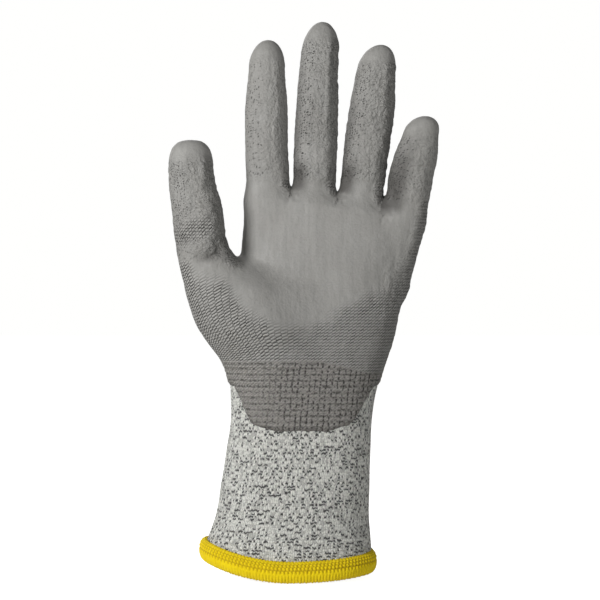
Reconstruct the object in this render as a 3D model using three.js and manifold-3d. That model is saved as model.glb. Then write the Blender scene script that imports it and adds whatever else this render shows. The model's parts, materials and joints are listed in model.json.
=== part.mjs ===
// A left-hand cut resistant work glove in its worn, open-hand shape: a seamless knitted liner, a dipped palm
// coating, an elastic knitted cuff and a yellow overlocked hem. Millimetres.
//
// Frame: the origin is the centre of the hem's flat end, +Z runs up the hand to the fingertips, the palm
// faces -Y and the thumb is on the -X side.
//
// The fabric folds at the wearer's wrist and finger joints. At each fold the shell is divided by a gap that is
// narrow at the hinge and opens towards the palm, so the two rigid lengths can turn without touching. A crease
// band of liner and coating together fills that gap at rest.
import * as THREE from "three";
import { mergeVertices } from "three/addons/utils/BufferGeometryUtils.js";
import Module from "manifold-3d";

const wasm = await Module();
wasm.setup();

// ---------- driving dimensions ----------
const COATING = 0.6; // thickness of the dipped film
const BOND = 0.2; // clearance between film and liner
const LINER = 1.1; // thickness of the knit

const LINER_FACE = COATING + BOND; // the liner's outer face, below the glove's outer surface
const CAVITY = LINER_FACE + LINER; // the wearer's side of the liner

const FINGER_SIDES = 12;
const THUMB_SIDES = 14;
const TRUNK_SIDES = 28;
const DOME_RINGS = 3;
const DOME_END = 74; // degrees round the tip's curve at which a flat end closes it

const GAP_HALF = 0.9; // half of a fold's gap, at its hinge
const BAND_HALF = 0.55; // half of the crease band that fills it
const SIDE_CLEARANCE = 0.5; // how much wider than its finger a fold's cut is
const BAND_SIDE_CLEARANCE = 0.3; // and how much wider the crease band may be
const HINGE_SPAN = 5; // the limb's direction at a hinge is taken this far below and above it

const FILM_WRAP = 3; // how far past the limb's middle the film reaches, towards the back
const FILM_TIP = 14; // length of fingertip that the film covers all round
const FILM_EDGE_SIDE = 90; // height of the film's lower edge at the sides of the wrist
const FILM_EDGE_SLOPE = 0.9; // how fast that edge drops towards the front of the cuff
const FILM_EDGE_RISE = 8; // how much higher the edge is where the film ends, behind the side

const HEM_HEIGHT = 10.5;
const HEM_LIP = 2.3; // how far the overlocked hem stands out of the knit
const HEM_INNER_HEIGHT = 7;
const HEM_INNER_LIP = 1.4;
const HEM_CLEARANCE = 0.3;
const HEM_CHAMFER = 1; // at the outer edge of the hem's flat end
const HEM_SHOULDER = 3; // height of the slope from the hem's outer face up to the knit
const KNIT_END = 2; // where the cuff's cut edge sits inside the hem
const THREAD_RADIUS = 0.6;
const THREAD_CLEARANCE = 0.2;

const ELASTIC_RADIUS = 0.4;
const ELASTIC_TURNS = 6;
const ELASTIC_FROM = 22;
const ELASTIC_TO = 74;
const ELASTIC_STEPS_PER_TURN = 16;
const ELASTIC_SIDES = 4;
const ELASTIC_CLEARANCE = 0.5;

// A limb is a stack of level rings, each { z, x, y, a, b }: its height, centre, half width and half depth.
// Above the last ring a rounded tip of the given length closes it. A higher bluntness makes a squarer tip.
const LIMBS = {
  trunk: {
    sides: TRUNK_SIDES,
    squareness: 2.35,
    bluntness: 3,
    tipLength: 9,
    topSlope: -0.17,
    rings: [
      { z: 0, x: 0, y: 0, a: 40.4, b: 27 },
      { z: 13, x: 0.2, y: 0, a: 39.8, b: 26.5 },
      { z: 30, x: 2.2, y: 0, a: 36.6, b: 24.6 },
      { z: 58, x: 5, y: 0, a: 34.7, b: 23.3 },
      { z: 84, x: 7.4, y: 0, a: 33.8, b: 22.6 },
      { z: 96, x: 8.4, y: 0.5, a: 36.2, b: 21 },
      { z: 110, x: 10, y: 0.8, a: 39.5, b: 19 },
      { z: 132, x: 14.4, y: 0.6, a: 40.8, b: 16.6 },
      { z: 154, x: 18.6, y: -0.1, a: 42, b: 15 },
      { z: 171, x: 22, y: -1, a: 42.2, b: 12.8 },
    ],
  },
  thumb: {
    sides: THUMB_SIDES,
    squareness: 2.1,
    bluntness: 2.5,
    tipLength: 13,
    rings: [
      { z: 90, x: 0, y: -6, a: 15, b: 13 },
      { z: 104, x: -13, y: -8, a: 19.6, b: 15.4 },
      { z: 124, x: -24.6, y: -10.6, a: 18, b: 15.8 },
      { z: 141, x: -34.4, y: -12.2, a: 15.8, b: 14.4 },
      { z: 152, x: -39.4, y: -13, a: 13.1, b: 12.5 },
      { z: 179, x: -43, y: -14.6, a: 11.3, b: 10.8 },
      { z: 190.7, x: -44.9, y: -16.4, a: 10.5, b: 9.6 },
    ],
  },
  index: {
    sides: FINGER_SIDES,
    squareness: 2.1,
    bluntness: 2.4,
    tipLength: 26,
    rings: [
      { z: 150, x: -7.2, y: 0, a: 10, b: 11 },
      { z: 181, x: -9, y: -1.8, a: 10.2, b: 10.6 },
      { z: 199, x: -9.9, y: -3.4, a: 10.1, b: 9.8 },
      { z: 212, x: -10.3, y: -5, a: 10.2, b: 9.6 },
      { z: 225, x: -10, y: -7, a: 9.7, b: 9 },
    ],
    tip: { x: -8.9, y: -12 },
  },
  middle: {
    sides: FINGER_SIDES,
    squareness: 2.1,
    bluntness: 2.4,
    tipLength: 25.5,
    rings: [
      { z: 150, x: 11, y: 0, a: 10, b: 11.2 },
      { z: 181, x: 12.4, y: -1.8, a: 9.9, b: 10.8 },
      { z: 199, x: 13, y: -3, a: 10.2, b: 10 },
      { z: 213, x: 13.4, y: -4.4, a: 10.1, b: 9.8 },
      { z: 233.5, x: 14.6, y: -7.8, a: 9.5, b: 8.8 },
    ],
    tip: { x: 16.4, y: -12.6 },
  },
  ring: {
    sides: FINGER_SIDES,
    squareness: 2.1,
    bluntness: 2.4,
    tipLength: 24.3,
    rings: [
      { z: 148, x: 31, y: 0, a: 10, b: 11 },
      { z: 180, x: 34.6, y: -1.8, a: 10.3, b: 10.6 },
      { z: 199, x: 36.8, y: -4, a: 10.7, b: 9.9 },
      { z: 211, x: 38.2, y: -5.8, a: 10.9, b: 9.6 },
      { z: 224, x: 39.9, y: -8.4, a: 10.5, b: 9 },
    ],
    tip: { x: 43.8, y: -15 },
  },
  little: {
    sides: FINGER_SIDES,
    squareness: 2.1,
    bluntness: 2.4,
    tipLength: 18,
    rings: [
      { z: 138, x: 44, y: 0, a: 9.4, b: 10.6 },
      { z: 160, x: 52.6, y: -1, a: 10, b: 10.6 },
      { z: 172, x: 55.2, y: -2.8, a: 10, b: 10.2 },
      { z: 185, x: 57, y: -7.6, a: 10.6, b: 9.8 },
      { z: 196.4, x: 59.6, y: -13.2, a: 10.2, b: 9.2 },
    ],
    tip: { x: 64.2, y: -22.5 },
  },
};

// Every fold: its height on its limb, and how far it bends towards the palm and away from it, in degrees.
const FOLDS = {
  wrist_crease: { limb: "trunk", z: 87, palmward: 35, backward: 35 },
  thumb_root_crease: { limb: "thumb", z: 157, palmward: 50, backward: 12 },
  thumb_tip_crease: { limb: "thumb", z: 180, palmward: 60, backward: 10 },
  index_root_crease: { limb: "index", z: 189.5, palmward: 70, backward: 12 },
  index_middle_crease: { limb: "index", z: 210, palmward: 80, backward: 4 },
  index_tip_crease: { limb: "index", z: 231, palmward: 45, backward: 4 },
  middle_root_crease: { limb: "middle", z: 189.5, palmward: 70, backward: 12 },
  middle_middle_crease: { limb: "middle", z: 212, palmward: 80, backward: 4 },
  middle_tip_crease: { limb: "middle", z: 235, palmward: 45, backward: 4 },
  ring_root_crease: { limb: "ring", z: 188, palmward: 70, backward: 12 },
  ring_middle_crease: { limb: "ring", z: 208, palmward: 80, backward: 4 },
  ring_tip_crease: { limb: "ring", z: 228.5, palmward: 45, backward: 4 },
  little_root_crease: { limb: "little", z: 180, palmward: 55, backward: 12 },
  little_middle_crease: { limb: "little", z: 191.5, palmward: 60, backward: 4 },
  little_tip_crease: { limb: "little", z: 203, palmward: 40, backward: 4 },
};
const PALMWARD = new THREE.Vector3(0, -1, 0);
const THUMB_PALMWARD = new THREE.Vector3(0.5, -0.87, 0); // the thumb folds across the palm
const FINGERS = ["index", "middle", "ring", "little"];
const REACH = 60; // half size of the solids that cut a digit, larger than any digit
const HAND_REACH = 140; // the same for the whole glove

// ---------- materials ----------
const knit = new THREE.MeshStandardMaterial({ color: 0x9d9c98, roughness: 0.95, metalness: 0 });
const film = new THREE.MeshStandardMaterial({ color: 0x8f8d88, roughness: 0.6, metalness: 0 });
const hemYarn = new THREE.MeshStandardMaterial({ color: 0xccb61e, roughness: 0.85, metalness: 0 });
const elastic = new THREE.MeshStandardMaterial({ color: 0xd8d6cf, roughness: 0.7, metalness: 0 });

// ---------- geometry helpers ----------
const degrees = THREE.MathUtils.degToRad;

// A closed skin over rings of points, each ring running anticlockwise seen from above, lowest ring first.
function loft(rings) {
  const sides = rings[0].length;
  const positions = rings.flat().flatMap((p) => [p.x, p.y, p.z]);
  const index = [];
  for (let r = 0; r + 1 < rings.length; r++) {
    for (let i = 0; i < sides; i++) {
      const here = r * sides + i;
      const next = r * sides + ((i + 1) % sides);
      index.push(here, next, next + sides, here, next + sides, here + sides);
    }
  }
  const top = (rings.length - 1) * sides;
  for (let i = 1; i + 1 < sides; i++) {
    index.push(0, i + 1, i);
    index.push(top, top + i, top + i + 1);
  }
  const geometry = new THREE.BufferGeometry();
  geometry.setAttribute("position", new THREE.Float32BufferAttribute(positions, 3));
  geometry.setIndex(index);
  return geometry;
}

// One level ring of a limb: a superellipse, whose height may slope across the palm.
function ringPoints(limb, ring, slope = 0) {
  const points = [];
  for (let i = 0; i < limb.sides; i++) {
    const angle = (2 * Math.PI * i) / limb.sides;
    const c = Math.cos(angle);
    const s = Math.sin(angle);
    const power = 2 / limb.squareness;
    const dx = ring.a * Math.sign(c) * Math.abs(c) ** power;
    const dy = ring.b * Math.sign(s) * Math.abs(s) ** power;
    points.push(new THREE.Vector3(ring.x + dx, ring.y + dy, ring.z + slope * dx));
  }
  return points;
}

// The rings of a limb at a depth below the glove's outer surface, its rounded tip included.
function limbRings(limb, depth) {
  const shoulder = limb.rings.at(-1);
  const tip = limb.tip ?? shoulder;
  const slope = limb.topSlope ?? 0;
  const rings = limb.rings.map((ring) => ({ ...ring, a: ring.a - depth, b: ring.b - depth }));
  const length = limb.tipLength - depth;
  for (let i = 1; i <= DOME_RINGS; i++) {
    const turn = degrees((DOME_END * i) / DOME_RINGS);
    const t = Math.sin(turn) / Math.sin(degrees(DOME_END));
    const scale = Math.cos(turn) ** (2 / limb.bluntness);
    rings.push({
      z: shoulder.z + t * length,
      x: THREE.MathUtils.lerp(shoulder.x, tip.x, t * t),
      y: THREE.MathUtils.lerp(shoulder.y, tip.y, t),
      a: (shoulder.a - depth) * scale,
      b: (shoulder.b - depth) * scale,
    });
  }
  // a sloping top leans over more and more in the limb's last rings
  const lean = (i) => Math.min(1, i / (limb.rings.length - 1)) ** 4;
  return rings.map((ring, i) => ringPoints(limb, ring, slope * lean(i)));
}

// A closed three.js geometry as a solid for cutting and joining.
function solid(geometry) {
  const bare = new THREE.BufferGeometry().setAttribute("position", geometry.getAttribute("position"));
  if (geometry.index) bare.setIndex(geometry.index);
  const merged = mergeVertices(bare, 1e-4);
  return new wasm.Manifold(new wasm.Mesh({
    numProp: 3,
    vertProperties: merged.attributes.position.array,
    triVerts: new Uint32Array(merged.index.array),
  }));
}

function limbSolid(name, depth) {
  return solid(loft(limbRings(LIMBS[name], depth)));
}

function joined(solids) {
  return solids.reduce((all, one) => all.add(one));
}

// The middle of a limb at a height, by straight lines between its rings and its tip.
function centreAt(limb, z) {
  const shoulder = limb.rings.at(-1);
  const end = { ...shoulder, ...limb.tip, z: shoulder.z + limb.tipLength };
  const stations = [...limb.rings, end];
  const above = Math.max(1, stations.findIndex((ring) => ring.z >= z));
  const [low, high] = [stations[above - 1], stations[above]];
  const t = (z - low.z) / (high.z - low.z);
  const { lerp } = THREE.MathUtils;
  return new THREE.Vector3(lerp(low.x, high.x, t), lerp(low.y, high.y, t), z);
}

// A fold's hinge: its point, the limb's direction there, the palmward direction and the axis.
function hingeOf(fold) {
  const limb = LIMBS[fold.limb];
  const point = centreAt(limb, fold.z);
  const along = centreAt(limb, fold.z + HINGE_SPAN).sub(centreAt(limb, fold.z - HINGE_SPAN)).normalize();
  if (fold.limb === "trunk") along.set(0, 0, 1);
  const front = (fold.limb === "thumb" ? THUMB_PALMWARD : PALMWARD).clone();
  front.addScaledVector(along, -front.dot(along)).normalize();
  // turning by a positive angle about this axis folds the fabric towards the palm
  const axis = along.clone().cross(front);
  return { point, along, front, axis };
}

// A prism across a fold, from its outline in the plane of (palmward, along) and its half length on the axis.
function prism(hinge, outline, halfWidth) {
  const shape = new THREE.Shape(outline.map(([f, d]) => new THREE.Vector2(f, d)));
  const geometry = new THREE.ExtrudeGeometry(shape, { depth: 2 * halfWidth, bevelEnabled: false });
  geometry.translate(0, 0, -halfWidth);
  const across = hinge.front.clone().cross(hinge.along);
  const place = new THREE.Matrix4().makeBasis(hinge.front, hinge.along, across).setPosition(hinge.point);
  return solid(geometry.applyMatrix4(place));
}

// The edge of a fold's opening above the hinge, from the palm side to the back, as [palmward, along] points.
function openingEdge(fold, half, reach) {
  const palm = half + reach * Math.tan(degrees(fold.palmward / 2));
  const back = half + reach * Math.tan(degrees(fold.backward / 2));
  return [[reach, palm], [0, half], [-reach, back]];
}

function mirrored(edge) {
  return edge.map(([f, d]) => [f, -d]);
}

function above(fold, halfWidth, reach = REACH) {
  const far = 3 * reach;
  return prism(hingeOf(fold), [...openingEdge(fold, GAP_HALF, reach), [-reach, far], [reach, far]], halfWidth);
}

function below(fold, halfWidth, reach = REACH) {
  const far = -3 * reach;
  const edge = mirrored(openingEdge(fold, GAP_HALF, reach)).reverse();
  return prism(hingeOf(fold), [...edge, [reach, far], [-reach, far]], halfWidth);
}

function opening(fold, half, halfWidth, reach = REACH) {
  const edge = openingEdge(fold, half, reach);
  return prism(hingeOf(fold), [...edge, ...mirrored(edge).reverse()], halfWidth);
}

// The space the film may cover on a limb: the palm side up to just past the middle, and the whole fingertip.
function filmSpace(name) {
  const limb = LIMBS[name];
  const first = limb.rings[0];
  const last = limb.rings.at(-1);
  const top = last.z + limb.tipLength;
  const outline = [new THREE.Vector2(-REACH, first.z - REACH)];
  outline.push(new THREE.Vector2(first.y + FILM_WRAP, first.z - REACH));
  for (const ring of limb.rings) outline.push(new THREE.Vector2(ring.y + FILM_WRAP, ring.z));
  const turn = centreAt(limb, top - FILM_TIP);
  outline.push(new THREE.Vector2(turn.y + FILM_WRAP, turn.z));
  outline.push(new THREE.Vector2(REACH, turn.z), new THREE.Vector2(REACH, top + REACH));
  outline.push(new THREE.Vector2(-REACH, top + REACH));
  return sidewaysExtrusion(new THREE.Shape(outline));
}

// The same for the palm and cuff, where the film's lower edge slopes down from the sides to the front.
function trunkFilmSpace() {
  const top = FILM_EDGE_SIDE + HAND_REACH;
  const shape = new THREE.Shape();
  shape.moveTo(-REACH, FILM_EDGE_SIDE - REACH * FILM_EDGE_SLOPE);
  shape.lineTo(0, FILM_EDGE_SIDE);
  shape.lineTo(FILM_WRAP, FILM_EDGE_SIDE + FILM_EDGE_RISE);
  shape.lineTo(FILM_WRAP, top);
  shape.lineTo(-REACH, top);
  return sidewaysExtrusion(shape);
}

// A shape drawn in the plane of (Y, Z), extruded right across the glove along X.
function sidewaysExtrusion(shape) {
  const geometry = new THREE.ExtrudeGeometry(shape, { depth: 2 * HAND_REACH, bevelEnabled: false });
  geometry.translate(0, 0, -HAND_REACH);
  const place = new THREE.Matrix4().makeBasis(
    new THREE.Vector3(0, 1, 0), new THREE.Vector3(0, 0, 1), new THREE.Vector3(1, 0, 0));
  return solid(geometry.applyMatrix4(place));
}

// ---------- the pieces ----------
const glove = new THREE.Group();

// Slivers that a cut leaves, far smaller than the piece, are dropped: only the largest body is kept.
function addPiece(name, shape, material) {
  const bodies = shape.decompose().sort((a, b) => b.volume() - a.volume());
  const made = bodies[0].getMesh();
  const geometry = new THREE.BufferGeometry();
  geometry.setAttribute("position", new THREE.BufferAttribute(Float32Array.from(made.vertProperties), 3));
  geometry.setIndex(new THREE.BufferAttribute(made.triVerts, 1));
  geometry.computeVertexNormals();
  const mesh = new THREE.Mesh(geometry, material);
  mesh.name = name;
  glove.add(mesh);
}

function widest(limb) {
  return Math.max(...limb.rings.slice(1).map((ring) => ring.a));
}

// Half the length of a fold's cutting prism: past its own limb, and short of the next finger.
function cutHalfWidth(fold) {
  return fold.limb === "trunk" ? HAND_REACH : widest(LIMBS[fold.limb]) + SIDE_CLEARANCE;
}

// A digit's rigid lengths and crease bands, above its root fold.
function addDigit(name, lengths) {
  const liner = limbSolid(name, LINER_FACE).subtract(limbSolid(name, CAVITY));
  const coat = limbSolid(name, 0).subtract(limbSolid(name, COATING)).intersect(filmSpace(name));
  const thickCoat = limbSolid(name, 0).subtract(limbSolid(name, LINER_FACE)).intersect(filmSpace(name));
  const folds = lengths.map((length) => FOLDS[length.from]);
  lengths.forEach((length, i) => {
    let space = above(folds[i], REACH);
    if (folds[i + 1]) space = space.intersect(below(folds[i + 1], REACH));
    addPiece(`${name}_${length.part}_liner`, liner.intersect(space), knit);
    addPiece(`${name}_${length.part}_coating`, coat.intersect(space), film);
    const band = opening(folds[i], BAND_HALF, cutHalfWidth(folds[i]) - BAND_SIDE_CLEARANCE);
    addPiece(length.from, liner.add(thickCoat).intersect(band), film);
  });
}

for (const finger of FINGERS) {
  addDigit(finger, [
    { part: "lower", from: `${finger}_root_crease` },
    { part: "middle", from: `${finger}_middle_crease` },
    { part: "tip", from: `${finger}_tip_crease` },
  ]);
}
addDigit("thumb", [
  { part: "lower", from: "thumb_root_crease" },
  { part: "tip", from: "thumb_tip_crease" },
]);

// The hand: the whole glove's shell, less what belongs to the digits and the cuff.
const limbNames = Object.keys(LIMBS);
const whole = (depth) => joined(limbNames.map((name) => limbSolid(name, depth)));
const rootFolds = ["thumb", ...FINGERS].map((name) => FOLDS[`${name}_root_crease`]);
const digitSpace = joined(rootFolds.flatMap((fold) => [
  above(fold, cutHalfWidth(fold)),
  opening(fold, GAP_HALF, cutHalfWidth(fold)),
]));
const filmLimits = joined([
  trunkFilmSpace().intersect(limbSolid("trunk", -1)),
  ...["thumb", ...FINGERS].map((name) => filmSpace(name).intersect(limbSolid(name, -1))),
]).intersect(trunkFilmSpace());
const handSpace = above(FOLDS.wrist_crease, HAND_REACH, HAND_REACH).subtract(digitSpace);
const linerShell = whole(LINER_FACE).subtract(whole(CAVITY));
const filmShell = whole(0).subtract(whole(COATING)).intersect(filmLimits);
const thickFilmShell = whole(0).subtract(whole(LINER_FACE)).intersect(filmLimits);
addPiece("hand_liner", linerShell.intersect(handSpace), knit);
addPiece("palm_coating", filmShell.intersect(handSpace), film);

const wristBand = opening(FOLDS.wrist_crease, BAND_HALF, HAND_REACH, HAND_REACH);
addPiece("wrist_crease", linerShell.add(thickFilmShell).intersect(wristBand), knit);

// The cuff: an open tube, so both its ends are cut flat.
const aboveCutEdge = new THREE.BoxGeometry(HAND_REACH, HAND_REACH, HAND_REACH);
aboveCutEdge.translate(0, 0, KNIT_END + HAND_REACH / 2);
const cuffSpace = below(FOLDS.wrist_crease, HAND_REACH, HAND_REACH).intersect(solid(aboveCutEdge));
addPiece("cuff_knit", linerShell.intersect(cuffSpace), knit);
addPiece("cuff_coating", filmShell.intersect(cuffSpace), film);

// ---------- the hem ----------
// A ring round the cuff with an upright cross-section, given as [outwards from the knit's face, height] points.
function cuffRing(section) {
  const base = { ...LIMBS.trunk.rings[0] };
  const loops = section.map(([out, height]) => {
    const at = ringAtHeight(height);
    return ringPoints(LIMBS.trunk, { ...base, x: at.x, a: at.a + out, b: at.b + out, z: height });
  });
  return closedBand(loops);
}

// The trunk's ring at a height, between its first rings.
function ringAtHeight(height) {
  const rings = LIMBS.trunk.rings;
  const above = Math.max(1, rings.findIndex((ring) => ring.z >= height));
  const [low, high] = [rings[above - 1], rings[above]];
  const t = (height - low.z) / (high.z - low.z);
  const mix = (key) => THREE.MathUtils.lerp(low[key], high[key], t);
  return { x: mix("x"), y: mix("y"), a: mix("a"), b: mix("b"), z: height };
}

// A ring-shaped solid whose cross-section runs through the given loops in turn.
function closedBand(loops) {
  const sides = loops[0].length;
  const positions = loops.flat().flatMap((p) => [p.x, p.y, p.z]);
  const index = [];
  loops.forEach((_, r) => {
    const low = r * sides;
    const high = ((r + 1) % loops.length) * sides;
    for (let i = 0; i < sides; i++) {
      const j = (i + 1) % sides;
      index.push(low + i, low + j, high + j, low + i, high + j, high + i);
    }
  });
  const geometry = new THREE.BufferGeometry();
  geometry.setAttribute("position", new THREE.Float32BufferAttribute(positions, 3));
  geometry.setIndex(index);
  return solid(geometry);
}

const outerFace = -LINER_FACE + HEM_CLEARANCE;
const innerFace = -CAVITY - HEM_CLEARANCE;
const bottom = KNIT_END - HEM_CLEARANCE;
const hemSection = [
  [outerFace, HEM_HEIGHT],
  [outerFace, bottom],
  [innerFace, bottom],
  [innerFace, HEM_INNER_HEIGHT],
  [innerFace - HEM_INNER_LIP, HEM_INNER_HEIGHT - HEM_CHAMFER],
  [innerFace - HEM_INNER_LIP, 0],
  [outerFace + HEM_LIP - HEM_CHAMFER, 0],
  [outerFace + HEM_LIP, HEM_CHAMFER],
  [outerFace + HEM_LIP, HEM_HEIGHT - HEM_SHOULDER],
  [outerFace + HEM_LIP / 2, HEM_HEIGHT],
];
addPiece("hem_overlock", cuffRing(hemSection), hemYarn);

// The needle thread's chain, a cord lying round the cuff on top of the hem.
const threadOut = outerFace + THREAD_RADIUS;
const threadHeight = HEM_HEIGHT + THREAD_CLEARANCE + THREAD_RADIUS;
const threadSection = [[1, 0], [0, 1], [-1, 0], [0, -1]].map(([out, up]) => [
  threadOut + out * THREAD_RADIUS,
  threadHeight + up * THREAD_RADIUS,
]);
addPiece("hem_needle_thread", cuffRing(threadSection), hemYarn);

// ---------- the elastic ----------
// One covered elastic yarn, laid round and round against the inside of the cuff.
class ElasticPath extends THREE.Curve {
  getPoint(t, target = new THREE.Vector3()) {
    const height = THREE.MathUtils.lerp(ELASTIC_FROM, ELASTIC_TO, t);
    const ring = ringAtHeight(height);
    const inset = CAVITY + ELASTIC_RADIUS + ELASTIC_CLEARANCE;
    const power = 2 / LIMBS.trunk.squareness;
    const angle = 2 * Math.PI * ELASTIC_TURNS * t;
    const c = Math.cos(angle);
    const s = Math.sin(angle);
    const dx = (ring.a - inset) * Math.sign(c) * Math.abs(c) ** power;
    const dy = (ring.b - inset) * Math.sign(s) * Math.abs(s) ** power;
    return target.set(ring.x + dx, ring.y + dy, height);
  }
}
const elasticSection = new THREE.Shape(
  Array.from({ length: ELASTIC_SIDES }, (_, i) => {
    const angle = (2 * Math.PI * i) / ELASTIC_SIDES;
    return new THREE.Vector2(Math.cos(angle), Math.sin(angle)).multiplyScalar(ELASTIC_RADIUS);
  }));
const elasticGeometry = new THREE.ExtrudeGeometry(elasticSection, {
  steps: ELASTIC_TURNS * ELASTIC_STEPS_PER_TURN,
  extrudePath: new ElasticPath(),
});
addPiece("cuff_elastic_yarn", solid(elasticGeometry), elastic);

// The origin goes under the middle of the whole glove's box.
const box = new THREE.Box3().setFromObject(glove);
const middle = box.getCenter(new THREE.Vector3());
glove.position.set(-middle.x, -middle.y, -box.min.z);

// Each fold's hinge, in millimetres from the origin: where it is, and the axis that it turns about.
glove.userData.hinges = Object.fromEntries(
  Object.entries(FOLDS).map(([name, fold]) => {
    const { point, axis } = hingeOf(fold);
    return [name, { point: point.add(glove.position).toArray(), axis: axis.toArray() }];
  }));

export default glove;
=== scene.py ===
"""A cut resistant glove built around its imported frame.

It has a knitted liner, a dipped palm film, an overlocked hem and elastic yarn. Lengths in this script are
millimetres until a mesh is made, and Blender's metres after that. The glove's outer surface is one smooth
field, built from limbs measured on the frame. It is divided into pieces where the fabric folds, and each
piece is a thin closed shell.
"""

import json
import math

import bpy
import numpy as np
import openvdb
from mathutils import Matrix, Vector, noise


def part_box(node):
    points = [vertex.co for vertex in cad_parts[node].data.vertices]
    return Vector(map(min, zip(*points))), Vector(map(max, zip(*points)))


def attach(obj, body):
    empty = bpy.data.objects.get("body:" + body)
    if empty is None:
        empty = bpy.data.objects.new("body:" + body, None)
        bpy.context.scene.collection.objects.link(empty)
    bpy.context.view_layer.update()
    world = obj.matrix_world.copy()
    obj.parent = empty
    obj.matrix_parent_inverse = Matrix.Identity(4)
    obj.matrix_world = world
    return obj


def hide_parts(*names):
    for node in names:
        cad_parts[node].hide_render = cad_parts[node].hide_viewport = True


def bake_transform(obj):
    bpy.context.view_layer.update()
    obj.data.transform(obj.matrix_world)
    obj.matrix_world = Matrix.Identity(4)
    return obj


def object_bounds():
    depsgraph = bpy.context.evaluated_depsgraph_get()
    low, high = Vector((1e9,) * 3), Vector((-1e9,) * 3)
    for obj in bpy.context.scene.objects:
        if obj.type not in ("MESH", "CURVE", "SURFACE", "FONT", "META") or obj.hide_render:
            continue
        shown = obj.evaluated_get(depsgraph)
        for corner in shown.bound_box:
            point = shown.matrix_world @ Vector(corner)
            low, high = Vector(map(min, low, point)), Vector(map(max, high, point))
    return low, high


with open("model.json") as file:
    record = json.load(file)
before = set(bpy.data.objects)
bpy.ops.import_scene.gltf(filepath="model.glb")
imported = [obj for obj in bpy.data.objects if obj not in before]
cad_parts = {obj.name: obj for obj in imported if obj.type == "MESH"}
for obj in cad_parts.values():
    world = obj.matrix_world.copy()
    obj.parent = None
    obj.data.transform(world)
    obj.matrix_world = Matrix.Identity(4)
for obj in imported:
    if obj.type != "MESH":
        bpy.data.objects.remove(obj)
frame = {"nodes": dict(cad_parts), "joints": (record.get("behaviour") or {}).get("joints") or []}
CAD_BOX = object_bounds()
JOINTS = {joint["name"]: joint for joint in frame["joints"]}
FINGERS = ("index", "middle", "ring", "little")
DIGITS = ("thumb",) + FINGERS
MM = 0.001

# ---------- driving values ----------
VOXEL = 0.8  # spacing of the surface's points
FILM = 0.6  # thickness of the dipped film
FILM_EDGE = 0.25  # thickness of the film at its border
FILM_THINNEST = 0.12  # the least it may be anywhere
LINER_FACE = 0.8  # the knit's outer face, below the film's outer face
LINER = 1.1  # thickness of the knit
KNIT_END = 2.0  # the cuff's cut edge, inside the hem
WALE = 1.8  # width of one stitch
COURSE = 1.4  # height of one stitch


# ---------- measuring the frame ----------
def hinge(name):
    """A fold's hinge, in millimetres."""
    return np.array(JOINTS[name]["pos_m"]) / MM


def crossing(nodes, z):
    """Where the edges of some CAD nodes cross the height z."""
    found = []
    for name in nodes:
        mesh = frame["nodes"][name].data
        points = np.zeros(len(mesh.vertices) * 3)
        mesh.vertices.foreach_get("co", points)
        points = points.reshape(-1, 3) / MM
        ends = np.zeros(len(mesh.edges) * 2, int)
        mesh.edges.foreach_get("vertices", ends)
        low, high = points[ends[::2]], points[ends[1::2]]
        crosses = (low[:, 2] - z) * (high[:, 2] - z) < 0
        low, high = low[crosses], high[crosses]
        t = (z - low[:, 2]) / (high[:, 2] - low[:, 2])
        found.append(low + t[:, None] * (high - low))
    return np.concatenate(found)


def ring_at(nodes, z):
    """(z, x, y, half width, half depth) of the knit at a height, out to the film's outer face."""
    points = crossing(nodes, z)
    low, high = points.min(0), points.max(0)
    x, y, _ = (low + high) / 2
    half_width, half_depth, _ = (high - low) / 2 + LINER_FACE
    return [z, x, y, half_width, half_depth]


# ---------- limbs ----------
LENGTH_SLICE = 0.48  # where a length is measured, as a share of the way between its folds
TIP_SLICE = 0.38
TIP_CENTRE_DEPTH = 3
TOP_ROUNDING = 0.4
ROOT_DEPTH = 42  # a digit's limb runs on this far below its root fold, inside the palm
BURIED_SHARE = 0.72  # and is this share of its width there
BURIED_END = 9
LOWEST_BURIED = 50  # a limb that starts above this height has a rounded lower end
FINGER_BLUNT = 2.0
THUMB_BLUNT = 2.9
DIGIT_SQUARE = 2.1
CUFF_SLICES = (3, 14, 30, 45, 60, 76)  # heights where the cuff and palm are measured
PALM_SLICES = (97, 110, 125, 140, 155)
KNUCKLE_DEPTH = 19
KNUCKLE_ROUND = 9
KNUCKLE_TRIM = 2.2
PALM_WAIST = 3.6  # the edge below the little finger is drawn in this far
WAIST_HEIGHT = 144
WAIST_REACH = 18
KNUCKLE_SLOPE = 0.13
TRUNK_SQUARE = 2.35
TRUNK_BLUNT = 2.2
# rings of the ball of the thumb: share of the way from wrist to thumb root, half width, half depth
THENAR = ((0.05, 15, 12), (0.24, 19.4, 13), (0.53, 18, 13.2), (0.77, 15.8, 12.6))
THENAR_SWEEP_X = 0.58
THENAR_SWEEP_Y = 0.85


def ring_radius(turn, a, b, power):
    """How far a superellipse's edge is from its middle, by the turn from the palm side."""
    return (np.abs(np.sin(turn) / a) ** power + np.abs(np.cos(turn) / b) ** power) ** (-1 / power)


def ease(z, stations, values):
    """A smooth curve through values at stations."""
    slopes = np.gradient(values, stations)
    i = np.clip(np.searchsorted(stations, z) - 1, 0, len(stations) - 2)
    span = stations[i + 1] - stations[i]
    t = np.clip((z - stations[i]) / span, 0, 1)
    rise = values[i + 1] - values[i]
    start, end = slopes[i] * span, slopes[i + 1] * span
    return values[i] + t * start + t * t * (3 * rise - 2 * start - end) + t**3 * (start + end - 2 * rise)


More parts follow.
